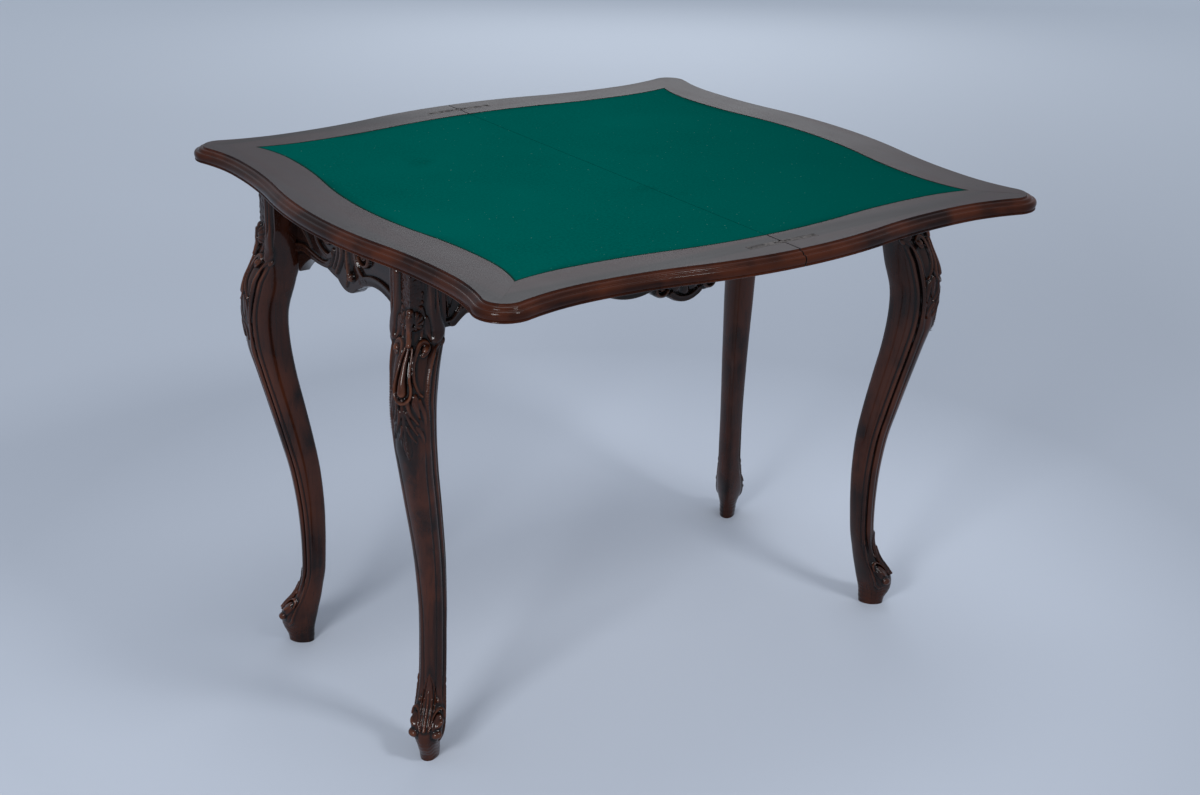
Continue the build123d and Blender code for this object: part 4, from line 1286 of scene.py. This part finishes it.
def carveShort(along, level, form):
    # Heights over the length and the level of a short apron, from its scrolls and leaves
    work = Relief(along, level)
    # One half: a low band out of the post, the large C-scroll round its eye, and two flutes
    band = [(169, 652), (146, 657), (122, 654), (98, 651), (78, 652), (63, 660), (53, 678)]
    work.cord(band, 7.6, 6.4, 0.9, 0.6, 0.45)
    work.cord([(106, 718), (107, 696), (100, 681), (85, 671), (68, 667), (55, 673)], 5.6, 7.4, 0.7, 0.9, 0.35)
    work.scroll((71, 698), 14, 1.6, 3.0, 5.6, 200, 1)
    work.boss((71, 698), (4.0, 4.0), 7.0)
    work.cord([(46, 714), (42, 697), (39, 685), (43, 671), (54, 654)], 4.8, 6.6, 1.0, 0.55, 0.3)
    work.cord([(32, 714), (29, 697), (28, 682), (34, 668), (46, 649)], 4.8, 7.2, 1.0, 0.55, 0.3)
    work.groove([(19, 716), (18, 690), (20, 664)], 3.6, 3.2)
    # Middle: spine and drop on the leaf that covers the tip
    work.leaf([(8, 718), (6, 688), (9, 662), (18, 634)], 12.0, 4.6)
    work.cord([(6, 716), (5, 688), (4, 668), (1, 652)], 3.2, 8.2, 0.9, 1.0)
    work.boss((-2, 655), (3.6, 6.8), 8.0)
    # Other half: the band that follows the edge and rises beside the spine, and the volute in it
    edgeBand(work, form, -168, -34, 8.5, 7.8, 6.4)
    work.cord([(-44, 660), (-28, 667), (-18, 677), (-13, 692), (-12, 714)], 5.4, 7.4, 0.7, 0.8, 0.35)
    work.scroll((-42, 697), 17, 1.6, 3.2, 7.0, -20, -1)
    work.boss((-42, 697), (4.4, 4.4), 8.2)
    for hand in (1, -1):
        bracket = handed(hand, (169, 700), (160, 690), (141, 679), (124, 664))
        work.cord(bracket, 3.4, 4.0, 1.2, 0.4)
    return work


def shellFan(work, centre, radius, ribs, high):
    # Shell: a dome whose ribs are cosines of the angle about its button
    dx = work.across - centre[0]
    dy = work.along - centre[1]
    distance = np.hypot(dx, dy)
    angle = np.arctan2(dx, -dy)
    edge = radius * (0.90 + 0.10 * np.abs(np.cos(angle * ribs / 2)))
    q = np.clip(distance / edge, 0, 1)
    fluted = 0.62 + 0.38 * np.cos(angle * ribs)
    shape = high * np.sqrt(1 - q**2.4) * (0.35 + 0.65 * fluted * np.clip(q * 2.4, 0, 1))
    inside = (distance < edge) & (np.abs(angle) < 2.2)
    work.put(inside, shape[inside])
    work.boss(centre, (radius * 0.2, radius * 0.2), high * 1.05)


def carveLong(along, level, form):
    # Heights over the length and the level of a long apron: both hands alike, and the shell between
    work = Relief(along, level)
    foot = apronBoard["level"] - form["drop"]
    for hand in (1, -1):
        start = 200 if hand > 0 else -20
        edgeBand(work, form, hand * 372, hand * 59, 7.0, 6.6, 5.8)
        work.cord(handed(hand, (391, 651), (380, 652), (372, 658), (363, 669), (352, 680)), 2.4, 4.6)
        work.cord(handed(hand, (387, 722), (386, 690), (383, 658)), 3.0, 4.2, 1.0, 0.6)
        work.leaf(handed(hand, (379, 712), (378, 690), (381, 664)), 5.0, 3.0)
        work.scroll((hand * 84, 664), 20, 1.6, 3.4, 6.4, start, hand)
        work.cord(handed(hand, (128, 712), (124, 686), (106, 662), (84, 642)), 4.8, 5.6, 0.5, 0.9, 0.35)
        work.scroll((hand * 43, 632), 12, 1.3, 3.2, 6.2, start, hand)
        work.boss((hand * 43, 632), (3.6, 3.6), 6.6)
        work.leaf(handed(hand, (26, 700), (38, 684), (50, 656)), 7.0, 5.0)
    edgeBand(work, form, -28, 28, 5.5, 5.0, 6.2)
    shellFan(work, (0, foot + 40), 30, 8, 7.0)
    work.leaf([(0, 722), (0, 700), (0, foot + 40)], 13.0, 5.2)
    work.cord([(0, 716), (0, 690), (0, foot + 42)], 2.4, 7.0)
    return work


def apronPiece(form, carve, side, node, finish):
    # One closed ring for each station: down the face, round the foot, up the back, over the top
    along = np.linspace(-form["halfSpan"], form["halfSpan"], form["columns"])
    depth = lowerEdge(form, along)
    share = np.linspace(0, 1, apronBoard["frontRows"])
    station = np.repeat(along[:, None], len(share), axis=1)
    level = apronBoard["level"] - depth[:, None] * share[None]
    work = carve(station, level, form)
    radius = apronBoard["rounding"]
    q = np.clip(1 - (1 - share) * depth[:, None] / radius, 0, 1)
    face = work.height - radius * (1 - np.sqrt(1 - q * q))
    behind = -apronBoard["thickness"]
    bevel = np.full((len(along), 1), behind + apronBoard["bevel"])
    backShare = np.linspace(1, 0, apronBoard["backRows"])
    backLevel = apronBoard["level"] - depth[:, None] * backShare[None]
    outs = np.concatenate([face, bevel, np.full(backLevel.shape, behind)], 1)
    levels = np.concatenate([level, level[:, -1:], backLevel], 1)
    levels[:, len(share) + 1] += apronBoard["bevel"]
    alongs = np.repeat(along[:, None], outs.shape[1], axis=1)
    cavity = work.cavity(4, 6.0)
    carved = np.concatenate([cavity, np.full((len(along), outs.shape[1] - cavity.shape[1]), 0.5)], 1)
    offset = side * (form["face"] + outs)
    if form is longApron:
        points = np.stack([-side * alongs, offset, levels], -1)
    else:
        points = np.stack([offset, side * -alongs, levels], -1)
    vertices, groups, carved = cappedLoops(points, carved)
    piece = makeMesh(node + "_carved", vertices, groups, apronBoard["sharpAngle"], carved)
    piece.data.materials.append(finish)
    ridesOn(piece, "frame", "frame_wood", node)


apronPiece(longApron, carveLong, -1, "front_apron", longApronWood)
apronPiece(longApron, carveLong, 1, "back_apron", longApronWood)
apronPiece(shortApron, carveShort, -1, "left_apron", shortApronWood)
apronPiece(shortApron, carveShort, 1, "right_apron", shortApronWood)
print("aprons carved")


# Glide strips of baize on the frame's top

glide = {
    "low": 727.5,
    "high": 728.65,
    "pivotX": 119.125,
    "housing": 35.15,
    "inset": 3.0,
    "longFace": 208.0,
    "longInner": 190.0,
    "shortFace": 412.0,
    "shortInner": 394.0,
    "halfX": 394.0,
    "halfY": 170.0,
    "cell": 4.0,
    "fuzz": 0.06,
}


def glideStrips():
    # Thin slabs whose face rises and falls by a sine of the length
    spans = []
    inset = glide["inset"]
    for side in (-1, 1):
        y = sorted((side * (glide["longInner"] + inset), side * (glide["longFace"] - inset)))
        spans.append(((-glide["halfX"], glide["pivotX"] - glide["housing"]), y))
        spans.append(((glide["pivotX"] + glide["housing"], glide["halfX"]), y))
        x = sorted((side * (glide["shortInner"] + inset), side * (glide["shortFace"] - inset)))
        spans.append((x, (-glide["halfY"], glide["halfY"])))
    profile = np.array([(0.0, 0), (0, 0.8), (0.06, 1), (0.94, 1), (1, 0.8), (1, 0)])
    rise = glide["low"] + (glide["high"] - glide["low"]) * profile[:, 1]
    strips, area, length = [], 0, 0
    for x, y in spans:
        lengthways = x[1] - x[0] > y[1] - y[0]
        (start, end), (left, right) = (x, y) if lengthways else (y, x[::-1])
        share = np.linspace(0, 1, int((end - start) / glide["cell"]))[:, None]
        height = rise - glide["fuzz"] * np.sin(share * 40) * profile[:, 1]
        along = np.broadcast_to(start + share * (end - start), height.shape)
        across = np.broadcast_to(left + profile[:, 0] * (right - left), height.shape)
        points = np.stack([along, across, height] if lengthways else [across, along, height], -1)
        strips.append(cappedLoops(points)[:2])
        area += (x[1] - x[0]) * (y[1] - y[0])
        length += end - start
    piece = joinedLoops("glide_strip_cloth", strips, sharpAngle=50)
    piece.data.materials.append(baizeCloth)
    ridesOn(piece, "frame", "baize", "glide_strips")
    width = area / length
    width * mm
    length * mm


glideStrips()


# Stage: one wide pale floor, softly uneven in tone, with painted light and shade on it

stage = {
    "reach": 14000.0,
    "paper": (0.445, 0.480, 0.545),
    "shade": (0.415, 0.448, 0.510),
    # distant, middle and aside are painted light and shade: far paper painted lighter, a painted pool of
    # light under the table, painted shade to the right
    "distant": (0.80, 0.85, 0.92),
    "middle": (0.575, 0.618, 0.700),
    "aside": (0.375, 0.404, 0.460),
    "middleAt": (0.15, 0.12, 0.0),
    "sides": 64,
    "level": -0.2,
}


def makeFloor():
    # Rings of a wide disc, in tones that change with the distance and towards the right
    rings = np.array([0.02, 0.2, 0.5, 1.0]) * stage["reach"]
    angle = np.linspace(0, 2 * math.pi, stage["sides"], endpoint=False)
    x = rings[:, None] * np.cos(angle)
    y = rings[:, None] * np.sin(angle)
    points = np.stack([x, y, np.full_like(x, stage["level"])], -1)
    index = np.arange(points[..., 0].size).reshape(points.shape[:2])
    beside = np.roll(index, -1, axis=1)
    quads = np.stack([index[:-1], index[1:], beside[1:], beside[:-1]], -1).reshape(-1, 4)
    centre = np.stack([np.full(stage["sides"], index.size), index[0], beside[0]], -1)
    vertices = np.vstack([points.reshape(-1, 3), [[0, 0, stage["level"]]]])
    mesh = bpy.data.meshes.new("paperFloor")
    mesh.from_pydata((vertices * mm).tolist(), [], quads.tolist() + centre.tolist())
    mesh.update()
    piece = bpy.data.objects.new("paperFloor", mesh)
    bpy.context.scene.collection.objects.link(piece)
    paint = Paint("palePaper")
    soft = paint.noise(0.55, 2.0, 0.5)
    crease = paint.noise(3.2, 3.0, 0.6, 0.5)
    tone = paint.mix(paint.between(soft, 0.30, 0.70), stage["shade"], stage["paper"])
    # Painted light and shade: a painted pool of light under the table, painted shade towards the right, and
    # the far paper painted lighter
    tone = paint.mix(paint.between(paint.towards(toTheRight), 0.45, 1.3), tone, stage["aside"])
    tone = paint.mix(paint.between(paint.awayFrom((0.0, 0.0, 0.0)), 1.2, 6.5), tone, stage["distant"])
    tone = paint.mix(paint.between(paint.awayFrom(stage["middleAt"]), 1.05, 0.25), tone, stage["middle"])
    paint.set(Base_Color=tone, Roughness=0.85, Specular_IOR_Level=0.2, Normal=paint.bump(crease, 2.0, 0.25))
    mesh.materials.append(paint.material)


makeFloor()


# Light: a pale world and four large softboxes at a plain level

room = {"air": (0.80, 0.88, 1.0, 1), "strength": 0.54, "lamps": (0.96, 0.98, 1.0), "aim": (0, 0, 0.55)}
world = bpy.data.worlds.new("paleRoom")
bpy.context.scene.world = world
world.use_nodes = True
world.node_tree.nodes["Background"].inputs[0].default_value = room["air"]
world.node_tree.nodes["Background"].inputs[1].default_value = room["strength"]

softboxes = {
    "frontLeftBox": {"place": (-2450, -1400, 1750), "size": 820, "power": 46},
    "frontRightBox": {"place": (700, -2700, 3400), "size": 700, "power": 44},
    "topBox": {"place": (300, 400, 3600), "size": 1800, "power": 30},
    "backBox": {"place": (2900, 3900, 1900), "size": 2200, "power": 20},
}
for lightName, box in softboxes.items():
    lamp = bpy.data.lights.new(lightName, "AREA")
    lamp.shape = "SQUARE"
    lamp.size = box["size"] * mm
    lamp.energy = box["power"]
    lamp.color = room["lamps"]
    holder = bpy.data.objects.new(lightName, lamp)
    place = np.array(box["place"]) * mm
    aim = np.array(room["aim"]) - place
    holder.location = place
    flat = math.hypot(aim[0], aim[1])
    holder.rotation_euler = (math.atan2(flat, -aim[2]), 0, math.atan2(aim[1], aim[0]) - math.pi / 2)
    bpy.context.scene.collection.objects.link(holder)


# Camera: where the photographer stood

photoCamera = {
    "place": (-1532.27, -2210.30, 1494.23),
    "azimuth": -34.7836,
    "elevation": 22.3829,
    "roll": 0.99658,
    "lens": 56.80,
    "sensor": 36.0,
    "farthest": 60.0,  # metres
}


def makeCamera():
    # Looks along the azimuth and down by the elevation, then turns about its own axis
    camera = bpy.data.cameras.new("photoCamera")
    camera.lens = photoCamera["lens"]
    camera.sensor_width = photoCamera["sensor"]
    camera.sensor_fit = "HORIZONTAL"
    camera.clip_end = photoCamera["farthest"]
    holder = bpy.data.objects.new("photoCamera", camera)
    azimuth, elevation = math.radians(photoCamera["azimuth"]), math.radians(photoCamera["elevation"])
    roll = math.radians(photoCamera["roll"])
    flat = math.cos(elevation)
    back = np.array([math.sin(azimuth) * flat, -math.cos(azimuth) * flat, math.sin(elevation)])
    right = np.cross(-back, (0, 0, 1))
    right /= np.linalg.norm(right)
    up = np.cross(right, -back)
    turnedRight = math.cos(roll) * right + math.sin(roll) * up
    turnedUp = -math.sin(roll) * right + math.cos(roll) * up
    place = np.array(photoCamera["place"]) * mm
    rows = np.column_stack([turnedRight, turnedUp, back, place])
    holder.matrix_world = Matrix(np.vstack([rows, [0, 0, 0, 1]]).tolist())
    bpy.context.scene.collection.objects.link(holder)
    bpy.context.scene.camera = holder


makeCamera()
bpy.context.scene.view_settings.view_transform = "Standard"
print("stage, light and camera set")
